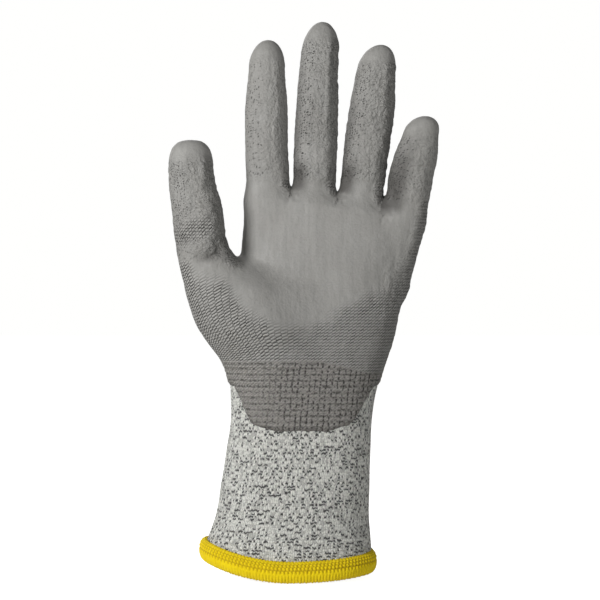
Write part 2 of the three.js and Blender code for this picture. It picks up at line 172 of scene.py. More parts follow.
class Limb:
    """A tube of level superellipse rings with a rounded top."""

    def __init__(self, rings, shoulder, top, square, blunt, slope=0.0):
        table = np.array(sorted(rings), float)
        self.stations = table[:, 0]
        self.columns = table[:, 1:].T
        self.shoulder, self.top = shoulder, top
        self.square, self.blunt, self.slope = square, blunt, slope
        self.closed_below = table[0, 0] > LOWEST_BURIED

    def ring(self, z):
        """x, y, half width and half depth at heights z."""
        return [ease(z, self.stations, column) for column in self.columns]

    def value(self, x, y, z):
        """1 on the surface, less than 1 inside."""
        cx, cy, a, b = self.ring(z)
        n, m = self.square, self.blunt
        side = (np.abs((x - cx) / a) ** n + np.abs((y - cy) / b) ** n) ** (1 / n)
        height = z - self.slope * (cx - x) - self.shoulder
        t = np.clip(height / (self.top - self.shoulder), 0, None)
        if self.closed_below:
            t = t + np.clip((self.stations[0] - z) / BURIED_END, 0, None)
        return (side**m + t**m) ** (1 / m)


def digit_limb(name):
    """A finger or the thumb, measured across the middle of each of its lengths."""
    root = hinge(f"{name}_root_fold")
    tip_fold = hinge(f"{name}_tip_fold")
    folds = [root[2], tip_fold[2]]
    lengths = ["lower", "tip"]
    if name != "thumb":
        folds.insert(1, hinge(f"{name}_middle_fold")[2])
        lengths.insert(1, "middle")
    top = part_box(f"{name}_tip_coating")[1][2] / MM
    folds.append(top)
    rings = []
    for i, length in enumerate(lengths):
        share = TIP_SLICE if length == "tip" else LENGTH_SLICE
        z = folds[i] + share * (folds[i + 1] - folds[i])
        rings.append(ring_at([f"{name}_{length}_liner"], z))
    shoulder = rings[-1][0]
    rings += root_rings(root, rings[0])
    if name == "thumb":
        rings = thenar_rings(root) + rings[:-1]
    end = crossing([f"{name}_tip_liner"], top - TIP_CENTRE_DEPTH)
    x, y, _ = (end.min(0) + end.max(0)) / 2
    last = max(rings)
    rings.append([top, x, y, last[3], last[4]])
    blunt = THUMB_BLUNT if name == "thumb" else FINGER_BLUNT
    return Limb(rings, shoulder, top + TOP_ROUNDING, DIGIT_SQUARE, blunt)


def root_rings(root, first):
    """Rings that take a digit's limb straight on from its first, through its root hinge into the palm."""
    rings = []
    for depth in (0, ROOT_DEPTH):
        t = (first[0] - root[2] + depth) / (first[0] - root[2])
        x, y = (first[i] + t * (root[i - 1] - first[i]) for i in (1, 2))
        slimmer = BURIED_SHARE if depth else 1
        rings.append([root[2] - depth, x, y, slimmer * first[3], slimmer * first[4]])
    return rings


def thenar_rings(root):
    """The ball of the thumb: rings along a curve from the wrist's middle to the thumb's root."""
    wrist = hinge("wrist_fold")
    rings = []
    for share, half_width, half_depth in THENAR:
        x = wrist[0] + (root[0] - wrist[0]) * share**THENAR_SWEEP_X
        y = wrist[1] + (root[1] - wrist[1]) * share**THENAR_SWEEP_Y
        z = wrist[2] + (root[2] - wrist[2]) * share
        rings.append([z, x, y, half_width, half_depth])
    return rings


def trunk_limb():
    """The cuff and palm.

    Its thumb side is hidden by the thumb, so that side is drawn straight to the knuckles.
    """
    rings = [ring_at(["cuff_knit"], z) for z in CUFF_SLICES]
    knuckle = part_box("hand_liner")[1][2] / MM - KNUCKLE_DEPTH
    top_ring = ring_at(["hand_liner"], knuckle)
    top_ring[1] += KNUCKLE_TRIM / 2
    top_ring[3] -= KNUCKLE_TRIM / 2
    wrist_left = crossing(["hand_liner"], PALM_SLICES[0])[:, 0].min()
    knuckle_left = top_ring[1] - top_ring[3]
    for z in PALM_SLICES:
        points = crossing(["hand_liner"], z)
        waist = PALM_WAIST * math.exp(-(((z - WAIST_HEIGHT) / WAIST_REACH) ** 2))
        right = points[:, 0].max() + LINER_FACE - waist
        share = (z - PALM_SLICES[0]) / (knuckle - PALM_SLICES[0])
        left = wrist_left - LINER_FACE + share * (knuckle_left - wrist_left)
        x = (left + right) / 2
        clear = points[points[:, 0] > x]
        low, high = clear[:, 1].min(), clear[:, 1].max()
        rings.append([z, x, (low + high) / 2, (right - left) / 2, (high - low) / 2 + LINER_FACE])
    rings.append(top_ring)
    return Limb(rings, knuckle, knuckle + KNUCKLE_ROUND, TRUNK_SQUARE, TRUNK_BLUNT, slope=KNUCKLE_SLOPE)


LIMBS = {"trunk": trunk_limb()}
LIMBS.update({name: digit_limb(name) for name in DIGITS})


# ---------- the glove's surface ----------
GRID_MARGIN = 7.0
THUMB_WEB = 9.0  # how far the fabric between thumb and palm is drawn out
PALM_FILL = 32.0  # the same lower down, where the ball of the thumb runs into a flat palm
FILL_START = (102.0, 122.0)
FILL_END = (132.0, 152.0)
FINGER_WEB = 5.5  # the same between finger and palm
OUTER_WEB = 3.0  # more of it on the hand's outer side
CROTCH_DEPTH = 8.0  # the fingers part this far below their root folds
CROTCH_WEB = 4.0
CROTCH_FADE = 3.0
SMOOTHING_PASSES = 4
HEM_LEFT_LIFT = 8.2  # the cut edge hangs lowest at the front and back
HEM_RIGHT_LIFT = 2.6


def smoothstep(low, high, value):
    t = np.clip((value - low) / (high - low), 0, 1)
    return t * t * (3 - 2 * t)


def soft_min(a, b, reach):
    """The lower of two fields, rounded where they meet."""
    h = np.clip(reach - np.abs(a - b), 0, None) / reach
    return np.minimum(a, b) - h * h * reach / 4


def distance_field(limb, x, y, z):
    """About the distance from a limb's surface, by the slope of its value."""
    value = limb.value(x, y, z).astype(np.float32)
    slope = np.sqrt(sum(part**2 for part in np.gradient(value, VOXEL)))
    return (value - 1) / np.maximum(slope, 0.01)


def glove_surface():
    """Points and four-sided faces of the glove's outer surface."""
    low = np.array(CAD_BOX[0]) / MM - GRID_MARGIN
    high = np.array(CAD_BOX[1]) / MM + GRID_MARGIN
    x, y, z = (np.arange(low[i], high[i], VOXEL) for i in range(3))
    x, y, z = x[:, None, None], y[None, :, None], z[None, None, :]
    fields = {name: distance_field(limb, x, y, z) for name, limb in LIMBS.items()}
    filled = smoothstep(*FILL_START, z) * (1 - smoothstep(*FILL_END, z))
    web = THUMB_WEB + (PALM_FILL - THUMB_WEB) * filled
    field = soft_min(fields["trunk"], fields["thumb"], web)
    for name in FINGERS:
        web = FINGER_WEB
        if name == "index":
            web = FINGER_WEB + OUTER_WEB * smoothstep(0, -6, x - hinge("index_root_fold")[0])
        field = np.minimum(field, soft_min(fields["trunk"], fields[name], web))
    for one, other in zip(FINGERS, FINGERS[1:]):
        crotch = min(hinge(f"{name}_root_fold")[2] for name in (one, other)) - CROTCH_DEPTH
        web = 0.1 + CROTCH_WEB * (1 - smoothstep(crotch - CROTCH_FADE, crotch + CROTCH_FADE, z))
        field = np.minimum(field, soft_min(fields[one], fields[other], web))
    grid = openvdb.FloatGrid(GRID_MARGIN)
    grid.copyFromArray(np.ascontiguousarray(field, dtype=np.float32))
    points, faces = grid.convertToQuads(0.0)
    return points * VOXEL + low, faces.astype(int)


def vertex_normals(points, faces):
    corners = points[faces]
    across = np.cross(corners[:, 2] - corners[:, 0], corners[:, 3] - corners[:, 1])
    normals = np.zeros_like(points)
    for i in range(4):
        np.add.at(normals, faces[:, i], across)
    return normals / np.maximum(np.linalg.norm(normals, axis=1), 1e-9)[:, None]


def unique_edges(faces):
    """Every edge once, and how many faces share it."""
    pairs = np.concatenate([faces[:, [i, (i + 1) % 4]] for i in range(4)])
    return np.unique(np.sort(pairs, axis=1), axis=0, return_counts=True)


def smoothed(points, faces, passes):
    """Every point moved half way to the mean of its neighbours, a few times. A border's points stay."""
    edges, shares = unique_edges(faces)
    count = np.bincount(edges.ravel(), minlength=len(points))
    border = np.zeros(len(points), bool)
    border[edges[shares == 1].ravel()] = True
    for _ in range(passes):
        total = np.zeros_like(points)
        np.add.at(total, edges[:, 0], points[edges[:, 1]])
        np.add.at(total, edges[:, 1], points[edges[:, 0]])
        mean = total / np.maximum(count, 1)[:, None]
        points = np.where(border[:, None], points, (points + mean) / 2)
    return points


def hem_lift(x):
    """How far the cut edge rises towards the glove's sides."""
    cx, _, a, _ = (float(part) for part in LIMBS["trunk"].ring(np.array(KNIT_END)))
    t = np.clip((x - cx) / a, -1, 1)
    return HEM_LEFT_LIFT * np.clip(-t, 0, 1) ** 1.75 + HEM_RIGHT_LIFT * np.clip(t, 0, 1) ** 2


def trimmed(points, faces):
    """The surface above the cuff's cut edge, its lowest points on that edge."""
    centres = points[faces].mean(1)
    keep = centres[:, 2] > KNIT_END + hem_lift(centres[:, 0])
    faces = faces[keep]
    used, faces = np.unique(faces, return_inverse=True)
    points, faces = points[used], faces.reshape(-1, 4)
    edges, shares = unique_edges(faces)
    rim = np.unique(edges[shares == 1])
    points[rim, 2] = KNIT_END + hem_lift(points[rim, 0])
    return points, faces


def noise_at(points, size, seed=0.0):
    """Smooth noise, from -1 to 1, with features about this many millimetres across."""
    shift = Vector((seed, 2 * seed, 3 * seed))
    return np.array([noise.noise(Vector(p) / size + shift) for p in points])


# ---------- shapes pressed into the surface ----------
PALM_HOLLOW = 0.3
HEEL_PAD = 0.5
KNUCKLE_PAD = 0.4
THUMB_FOLD = 1.1
BRIDGE = 0.8
FLANK_RIDGES = (("thumb", 1.1), ("index", 0.15), ("middle", 0.5), ("ring", 0.3), ("little", 0.3))
RIDGE_PLACE = 0.42  # share of a digit's half width from its middle
RIDGE_WIDTH = 0.28
POCKETS = (("middle", 0.8), ("ring", 1.0), ("little", 1.2))
WRINKLES = 3
WRINKLE_DEPTH = 0.5
SLACK = 0.45  # unevenness of the worn fabric
SLACK_SIZE = 16
FOLD_DEPTH = 0.2
FOLD_WIDTH = 1.1
FOLD_REACH = 14
PAD_RISE = 0.12
PAD_PLACE = 6  # how far a pad's middle is from the fold
PAD_WIDTH = 3.5


def ridge(points, start, end, width, ends_fade=0.35):
    """How near each point is to a line seen from the front: 1 on it, less beside it and at its ends.

    The line's ends are (x, z), and only the palm's side counts.
    """
    start, end = np.array(start, float), np.array(end, float)
    flat = points[:, [0, 2]]
    along = end - start
    t = np.clip((flat - start) @ along / (along @ along), 0, 1)
    gap = np.linalg.norm(flat - (start + t[:, None] * along), axis=1)
    fade = smoothstep(0, ends_fade, t) * smoothstep(0, ends_fade, 1 - t)
    middle = LIMBS["trunk"].ring(points[:, 2])[1]
    return np.exp(-((gap / width) ** 2)) * fade * smoothstep(middle, middle - 5, points[:, 1])


def near_hinge(name, right, up):
    """The (x, z) of a place so far right of and above a fold's hinge."""
    x, _, z = hinge(name)
    return x + right, z + up


def hollow(points, centre, sizes):
    """A soft spot: 1 at its centre, falling away over the three sizes."""
    gap = (points - np.array(centre)) / np.array(sizes)
    return np.exp(-(gap**2).sum(1))


def sculpted(points, normals):
    """The surface with its palm hollow, pads, folds and gathers."""
    palm_side = smoothstep(0.1, -0.5, normals[:, 1])
    rise = np.zeros(len(points))
    knuckles = np.array([hinge(f"{name}_root_fold") for name in FINGERS])
    palm = (knuckles.mean(0) + hinge("wrist_fold")) / 2
    front = points[:, 1].min()
    rise -= PALM_HOLLOW * palm_side * hollow(points, (palm[0] - 2, front + 8, palm[2] + 4), (20, 14, 24))
    rise += HEEL_PAD * palm_side * hollow(points, (palm[0] + 22, front + 8, palm[2] - 22), (13, 14, 24))
    for knuckle in knuckles:
        rise += KNUCKLE_PAD * palm_side * hollow(points, knuckle + (0, -10, -15), (8, 8, 7))
    rise += digit_relief(points, normals)
    rise += flank_ridges(points, palm_side)
    rise += gathers(points)
    rise += THUMB_FOLD * thumb_folds(points)
    # the fabric stretched from the thumb's ball to the palm
    bridge = near_hinge("thumb_root_fold", 18, -8), near_hinge("wrist_fold", -7, 16)
    rise += BRIDGE * ridge(points, *bridge, 8, 0.25)
    rise += SLACK * noise_at(points, SLACK_SIZE, 3.1)
    return points + rise[:, None] * normals


def flank_ridges(points, palm_side):
    """A soft edge up each digit, where its front turns into its little finger side."""
    rise = np.zeros(len(points))
    nearest = nearest_digit(points)
    for name, height in FLANK_RIDGES:
        cx, _, a, _ = LIMBS[name].ring(points[:, 2])
        across = (points[:, 0] - cx) / a
        z = points[:, 2] - hinge(f"{name}_root_fold")[2]
        length = smoothstep(-2, 5, z) * smoothstep(LIMBS[name].top - 6, LIMBS[name].top - 18, points[:, 2])
        shape = np.exp(-(((across - RIDGE_PLACE) / RIDGE_WIDTH) ** 2))
        uneven = 0.8 + 1.1 * noise_at(points, 11, 2.5)
        rise += height * uneven * shape * length * palm_side * (nearest == name)
    return rise


def gathers(points):
    """The pockets and short wrinkles where a finger's fabric is drawn together beside its neighbour."""
    rise = np.zeros(len(points))
    for name, depth in POCKETS:
        fold = f"{name}_root_fold"
        left = -0.9 * LIMBS[name].ring(hinge(fold)[2])[2]
        rise -= depth * ridge(points, near_hinge(fold, left + 1.5, -7), near_hinge(fold, left + 1, 7), 2.0)
        for i in range(WRINKLES):
            turn = 0.35 + 0.55 * i
            start = near_hinge(fold, left - 0.5, -8)
            end = (start[0] + 9 * math.cos(turn) - 5, start[1] - 8 * math.sin(turn))
            rise -= WRINKLE_DEPTH * ridge(points, start, end, 0.9, 0.3)
    return rise


def nearest_digit(points):
    """The name of the digit each point is nearest to."""
    found = limb_distances(points)
    return np.array(DIGITS)[np.argmin([found[name] for name in DIGITS], axis=0)]


def digit_relief(points, normals):
    """Shallow folds across each digit at its hinges, with fuller pads between them."""
    rise = np.zeros(len(points))
    palm_side = smoothstep(0.2, -0.6, normals[:, 1])
    for name in DIGITS:
        for fold in (joint for joint in JOINTS if joint.startswith(name)):
            centre = hinge(fold)
            axis = np.array(JOINTS[fold]["axis"])
            up = np.cross(axis, (0, -1, 0))
            up /= np.linalg.norm(up)
            offset = points - centre
            near = np.exp(-(np.linalg.norm(offset, axis=1) / FOLD_REACH) ** 4)
            height = -(offset @ up)
            wobble = 0.6 * np.sin(offset @ axis / 2.1 + centre[2])
            rise -= FOLD_DEPTH * near * palm_side * np.exp(-(((height + wobble) / FOLD_WIDTH) ** 2))
            pad = np.exp(-(((np.abs(height) - PAD_PLACE) / PAD_WIDTH) ** 2))
            rise += PAD_RISE * near * palm_side * pad
    return rise


def thumb_folds(points):
    """Two slanting folds at the thumb's root with a roll of fabric between them."""
    root = "thumb_root_fold"
    upper = near_hinge(root, -14, -2), near_hinge(root, 6, 8)
    lower = near_hinge(root, -2, -11.5), near_hinge(root, 11, -2)
    roll = near_hinge(root, -9, -6), near_hinge(root, 8, 2.5)
    sunk = 0.6 * ridge(points, *upper, 2.2) + 1.3 * ridge(points, *lower, 2.8, 0.3)
    return 0.9 * ridge(points, *roll, 3.4) - sunk


# ---------- which limb, which stitch, how much film ----------
RING_LEVELS = 60
RING_STEPS = 180
FILM_WRAP = 3.0  # the film reaches this far behind a limb's middle
FILM_TIP = 14.0  # and all the way round a digit down to this far below its top
FILM_LOW = 69.5  # height of the film's lower edge at the front of the cuff
FILM_SAG_ANGLES = (0.66, 1.26)  # radians round from the front between which that edge climbs
FILM_CLIMB = 18.0
FILM_FRONT_CLIMB = 2.5
EDGE_WANDER = 0.45


class StitchMap:
    """Turns a place on a limb into wale and course distances, keeping the number of wales round it.

    Turns are measured from the palm side, so that the wales start over up the middle of the back.
    """

    def __init__(self, limb):
        self.limb = limb
        self.levels = np.linspace(limb.stations[0], limb.top, RING_LEVELS)
        turn = np.linspace(-math.pi, math.pi, RING_STEPS + 1)
        x, y, a, b = (part[:, None] for part in limb.ring(self.levels))
        radius = ring_radius(turn, a, b, limb.square)
        steps = np.hypot(np.diff(radius * np.sin(turn)), np.diff(radius * np.cos(turn)))
        walked = np.concatenate([np.zeros((RING_LEVELS, 1)), np.cumsum(steps, axis=1)], axis=1)
        self.table = walked / walked[:, -1:]
        self.wales = max(8, round(float(walked[:, -1].mean()) / WALE))
        climb = np.sqrt(np.diff(x[:, 0]) ** 2 + np.diff(y[:, 0]) ** 2 + np.diff(self.levels) ** 2)
        self.climb = self.levels[0] + np.concatenate([[0], np.cumsum(climb)])

    def place(self, points):
        """Wale distance, course distance."""
        x, y, z = points.T
        cx, cy, _, _ = self.limb.ring(z)
        turn = np.arctan2(x - cx, cy - y)
        level = np.clip((z - self.levels[0]) / (self.levels[1] - self.levels[0]), 0, RING_LEVELS - 1.001)
        step = (turn + math.pi) / (2 * math.pi) * RING_STEPS
        i, j = level.astype(int), np.clip(step.astype(int), 0, RING_STEPS - 1)
        s, t = level - i, step - j
        share = (1 - s) * ((1 - t) * self.table[i, j] + t * self.table[i, j + 1])
        share += s * ((1 - t) * self.table[i + 1, j] + t * self.table[i + 1, j + 1])
        course = np.interp(z, self.levels, self.climb) + np.minimum(z - self.levels[0], 0)
        return share * self.wales * WALE, course


def limb_distances(points):
    """About how far each point is from each limb's surface."""
    x, y, z = points.T
    found = {}
    for name, limb in LIMBS.items():
        value = limb.value(x, y, z)
        cx, cy, _, _ = limb.ring(z)
        reach = np.hypot(x - cx, y - cy) + np.clip(z - limb.top, 0, None)
        found[name] = reach * (1 - 1 / np.maximum(value, 1e-3))
        found[name] = np.where(z < limb.stations[0] - 4, 99.0, found[name])
    return found


def film_reach(points, distances):
    """How far inside the film's border each point is, in millimetres; negative where the knit is bare."""
    x, y, z = points.T
    names = list(LIMBS)
    weights = np.exp(-np.array([distances[name] for name in names]) / 3)
    middle = np.array([LIMBS[name].ring(z)[1] for name in names])
    middle = (weights * middle).sum(0) / weights.sum(0)
    reach = middle + FILM_WRAP - y
    nearest = np.argmin([distances[name] for name in names], axis=0)
    for i, name in enumerate(names):
        if name in DIGITS:
            over_tip = z - (LIMBS[name].top - FILM_TIP)
            reach = np.where(nearest == i, np.maximum(reach, over_tip), reach)
    cx, _, a, _ = LIMBS["trunk"].ring(z)
    turn = np.arcsin(np.clip(np.abs(x - cx) / a, 0, 1))
    climb = FILM_CLIMB * smoothstep(*FILM_SAG_ANGLES, turn) + FILM_FRONT_CLIMB * smoothstep(0.3, 0.7, turn)
    behind = smoothstep(0, 12, y - middle)
    lower = z - (FILM_LOW + climb + 10 * behind)
    wander = EDGE_WANDER * (noise_at(points, 2.2, 5.0) + 0.8 * noise_at(points, 9, 6.0))
    return np.minimum(reach, lower) + wander


def snapped_to_border(points, faces, reach):
    """Points of the faces on the film's border, slid along the surface onto the border itself."""
    edges, _ = unique_edges(faces)
    step = points[edges[:, 1]] - points[edges[:, 0]]
    climb = (reach[edges[:, 1]] - reach[edges[:, 0]])[:, None] * step
    length = (step**2).sum(1)[:, None]
    slope = np.zeros_like(points)
    count = np.bincount(edges.ravel(), minlength=len(points))[:, None]
    np.add.at(slope, edges[:, 0], climb / length)
    np.add.at(slope, edges[:, 1], climb / length)
    slope *= 2 / np.maximum(count, 1)
    inside = reach[faces].mean(1) > 0
    on_film = np.zeros(len(points), bool)
    off_film = np.zeros(len(points), bool)
    on_film[faces[inside].ravel()] = True
    off_film[faces[~inside].ravel()] = True
    move = -reach[:, None] * slope / np.maximum((slope**2).sum(1), 0.05)[:, None]
    size = np.linalg.norm(move, axis=1)[:, None]
    move *= np.minimum(1, 0.75 * VOXEL / np.maximum(size, 1e-9))
    return np.where((on_film & off_film)[:, None], points + move, points), inside


# ---------- the surface, measured ----------
points, faces = trimmed(*glove_surface())
points = smoothed(points, faces, SMOOTHING_PASSES)
points = sculpted(points, vertex_normals(points, faces))
distances = limb_distances(points)
reach = film_reach(points, distances)
points, film_faces = snapped_to_border(points, faces, reach)
normals = vertex_normals(points, faces)


# ---------- zones: where the glove is divided ----------
CUFF_END = 62.0
WRIST_END = 102.0
FINGER_BEND = 7.0  # the span each side of a finger's hinge; the zone above it starts this far below the hinge
LITTLE_BEND = 5.3
THUMB_BEND = (152.5, 164.0)
ZONE_LAP = 0.5
TRUNK_ZONES = ["cuff", "wrist", "hand"]


def digit_zones(name):
    """(zone, lowest height, bend start, bend end, body below, body above) for each length of a digit."""
    folds = [f"{name}_root_fold", f"{name}_middle_fold", f"{name}_tip_fold"]
    lengths = ["lower", "middle", "tip"]
    if name == "thumb":
        folds.remove("thumb_middle_fold")
        lengths.remove("middle")
    bend = LITTLE_BEND if name == "little" else FINGER_BEND
    zones = []
    below = "hand"
    for fold, length in zip(folds, lengths):
        height = hinge(fold)[2]
        start, end = height - bend, height + bend
        if fold == "thumb_root_fold":
            start, end = THUMB_BEND
        zones.append((f"{name}_{length}", start - ZONE_LAP, start, end, below, f"{name}_{length}"))
        below = f"{name}_{length}"
    return zones


DIGIT_ZONES = {name: digit_zones(name) for name in DIGITS}
ZONES = TRUNK_ZONES + [zone[0] for name in DIGITS for zone in DIGIT_ZONES[name]]


def zone_of(centres):
    """The number of the zone each face belongs to."""
    found = limb_distances(centres)
    z = centres[:, 2]
    zone = np.full(len(centres), ZONES.index("hand"))
    zone[z < WRIST_END] = ZONES.index("wrist")
    zone[z < CUFF_END] = ZONES.index("cuff")
    nearest_finger = np.argmin([found[name] for name in FINGERS], axis=0)
    on_thumb = found["thumb"] < np.min([found[name] for name in found if name != "thumb"], axis=0)
    for i, name in enumerate(DIGITS):
        mine = on_thumb if name == "thumb" else ~on_thumb & (nearest_finger == i - 1)
        for label, low, *_ in DIGIT_ZONES[name]:
            zone[mine & (z > low)] = ZONES.index(label)
    return zone


# ---------- stitches ----------
THUMB_KNIT_FLOOR = 118.0  # above this height the back of the thumb's base takes the thumb's stitches
THENAR_EDGE = -18.0
THENAR_CLIMB = 0.32  # how steeply the courses climb over the ball of the thumb
LEG_LEAN = 0.8
WAFFLE = 2.7  # pitch of the tucked grid
KNIT_RISE = 0.3
WAFFLE_TOP = 101.5  # height of the tucked grid's upper end, falling towards the little finger's side
WAFFLE_DROP = 6.0
WAFFLE_RISE = 0.34


def stitch_limbs(points, faces, zones):
    """The limb each face takes its stitches from. The back of the thumb's base takes the thumb's."""
    owners = ["trunk" if zone in TRUNK_ZONES else zone.split("_")[0] for zone in ZONES]
    owner = np.array(owners)[zones]
    centres = points[faces].mean(1)
    found = limb_distances(centres)
    _, middle, _, _ = LIMBS["thumb"].ring(centres[:, 2])
    base = (found["thumb"] < found["trunk"]) & (centres[:, 1] > middle) & (centres[:, 2] > THUMB_KNIT_FLOOR)
    owner[base & (owner == "trunk")] = "thumb"
    return owner


def stitch_corners(points, faces, zones):
    """Wale and course distances at each corner of each face, without a jump inside a face."""
    corners = np.zeros((len(faces), 4, 2))
    owner = stitch_limbs(points, faces, zones)
    for name, limb in LIMBS.items():
        mine = owner == name
        stitches = StitchMap(limb)
        spots = points[faces[mine]].reshape(-1, 3)
        wale, course = stitches.place(spots)
        if name == "trunk":
            # over the ball of the thumb the courses climb towards the palm
            beyond = np.minimum(spots[:, 0] - THENAR_EDGE, 0) * smoothstep(98, 112, spots[:, 2])
            course = course - THENAR_CLIMB * beyond
        wale, course = wale.reshape(-1, 4), course.reshape(-1, 4)
        around = stitches.wales * WALE
        wale += around * np.round((wale[:, :1] - wale) / around)
        corners[mine] = np.stack([wale, course], axis=2)
    return corners


def knit_relief(wale, course):
    """The raised legs of V shaped stitches, from 0 to 1."""
    s = np.mod(wale / WALE, 1) - 0.5
    q = np.mod(course / COURSE - LEG_LEAN * np.abs(s), 1)
    return np.sin(math.pi * q) * smoothstep(0, 0.12, np.abs(s)) * smoothstep(0.5, 0.36, np.abs(s))


def waffle_relief(wale, course):
    """The tucked grid of the knitted wrist, from 0 to 1."""
    across = 0.5 + 0.5 * np.cos(2 * math.pi * wale / WAFFLE)
    up = 0.5 + 0.5 * np.cos(2 * math.pi * course / WAFFLE)
    return 0.45 * across + 0.55 * up


# ---------- making meshes ----------
def new_mesh(name, points, faces, values=None):
    """A smooth mesh from points in millimetres, with the values its material reads at each point."""
    mesh = bpy.data.meshes.new(name)
    mesh.from_pydata((points * MM).tolist(), [], faces.tolist())
    for label, value in (values or {}).items():
        attribute = mesh.attributes.new(label, "FLOAT", "POINT")
        attribute.data.foreach_set("value", value.astype(np.float32))
    mesh.shade_smooth()
    return mesh


def new_object(name, mesh, material):
    obj = bpy.data.objects.new(name, mesh)
    bpy.context.scene.collection.objects.link(obj)
    mesh.materials.append(material)
    return obj


def subdivided(points, normals, faces, corners, reach):
    """Every four-sided face as four, with all that its points and corners carry."""
    n = len(points)
    sides = np.sort(np.stack([faces, np.roll(faces, -1, axis=1)], axis=2), axis=2).reshape(-1, 2)
    edges, side = np.unique(sides, axis=0, return_inverse=True)
    side = side.reshape(-1, 4) + n
    middle = np.arange(len(faces)) + n + len(edges)

    def spread(data):
        return np.concatenate([data, data[edges].mean(1), data[faces].mean(1)])

    new_faces, new_corners = [], []
    half = (corners + np.roll(corners, -1, axis=1)) / 2
    centre = corners.mean(1)
    for i in range(4):
        before = (i - 1) % 4
        new_faces.append(np.stack([faces[:, i], side[:, i], middle, side[:, before]], axis=1))
        new_corners.append(np.stack([corners[:, i], half[:, i], centre, half[:, before]], axis=1))
    normals = spread(normals)
    normals /= np.linalg.norm(normals, axis=1)[:, None]
    return spread(points), normals, np.concatenate(new_faces), np.concatenate(new_corners), spread(reach)


def point_stitches(count, faces, corners):
    """One wale and course distance for each point, taken from one of its corners."""
    found = np.zeros((count, 2))
    found[faces.ravel()] = corners.reshape(-1, 2)
    return found


def settled_normals(points, faces, base):
    """Normals of a raised skin, which keep the smooth surface's own normals along its open borders."""
    normals = vertex_normals(points, faces)
    edges, shares = unique_edges(faces)
    border = np.unique(edges[shares == 1])
    normals[border] = base[border]
    return normals


def across_faces(spots):
    """The direction each four-sided face looks in, by its corner points."""
    across = np.cross(spots[:, 2] - spots[:, 0], spots[:, 3] - spots[:, 1])
    return across / np.maximum(np.linalg.norm(across, axis=1), 1e-9)[:, None]


def rim_of(faces, corners):
    """Faces that join a skin's open border to its inner copy's. The copy's points follow the skin's."""
    count = faces.max() + 1
    edges, shares = unique_edges(faces)
    rims = {tuple(edge) for edge in edges[shares == 1].tolist()}
    rim_faces, rim_corners = [], []
    for i in range(4):
        one, other = faces[:, i], faces[:, (i + 1) % 4]
        pairs = zip(np.minimum(one, other).tolist(), np.maximum(one, other).tolist())
        on_rim = np.array([pair in rims for pair in pairs])
        one, other = one[on_rim], other[on_rim]
        rim_faces.append(np.stack([other, one, one + count, other + count], axis=1))
        a, b = corners[on_rim, i], corners[on_rim, (i + 1) % 4]
        rim_corners.append(np.stack([b, a, a, b], axis=1))
    return np.concatenate(rim_faces), np.concatenate(rim_corners)


def shell(name, faces, corners, outer, inner, outer_normals, values, material):
    """A closed skin between an outer and an inner face, joined by a rim, with smooth normals."""
    used, local = np.unique(faces, return_inverse=True)
    faces = local.reshape(-1, 4)
    turned = faces[:, ::-1]
    outer_normals = outer_normals[used]
    rim_faces, rim_corners = rim_of(faces, corners)
    all_points = np.concatenate([outer[used], inner[used]])
    all_faces = np.concatenate([faces, turned + len(used), rim_faces])
    all_corners = np.concatenate([corners, corners[:, ::-1], rim_corners])
    values = {label: np.tile(value[used], 2) for label, value in values.items()}
    mesh = new_mesh(name, all_points, all_faces, values)
    layer = mesh.uv_layers.new(name="stitch")
    layer.data.foreach_set("uv", all_corners.reshape(-1).astype(np.float32))
    rim_normals = np.repeat(across_faces(all_points[rim_faces]), 4, axis=0)
    outward, inward = outer_normals[faces].reshape(-1, 3), -outer_normals[turned].reshape(-1, 3)
    mesh.normals_split_custom_set(np.concatenate([outward, inward, rim_normals]).tolist())
    return new_object(name, mesh, material)


# ---------- node materials ----------
FLECK_SHARE = 0.36  # share of the stitch legs that carry a dark fleck
PRINT_COURSE = 1.5  # height of a stitch printed through the film
SLANT_LEAN = 0.62
PIN_WALE = 1.25  # width and height of the cells that pinholes fall in, and half a pinhole's width
PIN_COURSE = 1.2
PIN_HALF = 0.2


def srgb(red, green, blue):
    """A colour written as screen values, 0 to 255, in Blender's linear values."""
    linear = (((c / 255 + 0.055) / 1.055) ** 2.4 if c > 10 else c / 3295 for c in (red, green, blue))
    return (*linear, 1.0)


KNIT_PALE, KNIT_WHITE = srgb(214, 214, 208), srgb(236, 236, 230)
# the last of the three colours below is painted shade in the gaps between stitch legs
KNIT_GREY, KNIT_FLECK, KNIT_PAINTED_SHADE = srgb(150, 150, 146), srgb(32, 33, 34), srgb(96, 96, 94)
FILM_DARKER, FILM_LIGHTER = srgb(142, 140, 136), srgb(157, 156, 153)
FILM_STREAK, FILM_WAFFLE, FILM_SPECKLE = srgb(126, 126, 123), srgb(160, 156, 150), srgb(84, 82, 79)
# of the three colours below, the first is painted shade on finger flanks and beside the thumb's root
# of the three colours below, the last darkens pinholes and grid lines and is painted shadow under the
# printed strokes
FILM_PAINTED_SHADE, FILM_BORDER, FILM_GAP_AND_SHADE = srgb(76, 74, 71), srgb(98, 94, 90), srgb(48, 46, 44)
# painted highlight on the crests of the printed strokes
FILM_PAINTED_HIGHLIGHT = srgb(182, 180, 176)
# the last of the three colours below is painted shade in the hem wrap's hollows
HEM_LIGHT, HEM_DARK, HEM_PAINTED_SHADE = srgb(246, 222, 16), srgb(226, 196, 6), srgb(150, 114, 2)
NEEDLE_LIGHT, NEEDLE_DARK = srgb(236, 212, 16), srgb(214, 184, 6)
ELASTIC_LIGHT, ELASTIC_DARK = srgb(226, 224, 216), srgb(188, 186, 178)
FLOOR_LIGHT, FLOOR_DARK = srgb(246, 246, 244), srgb(240, 240, 238)


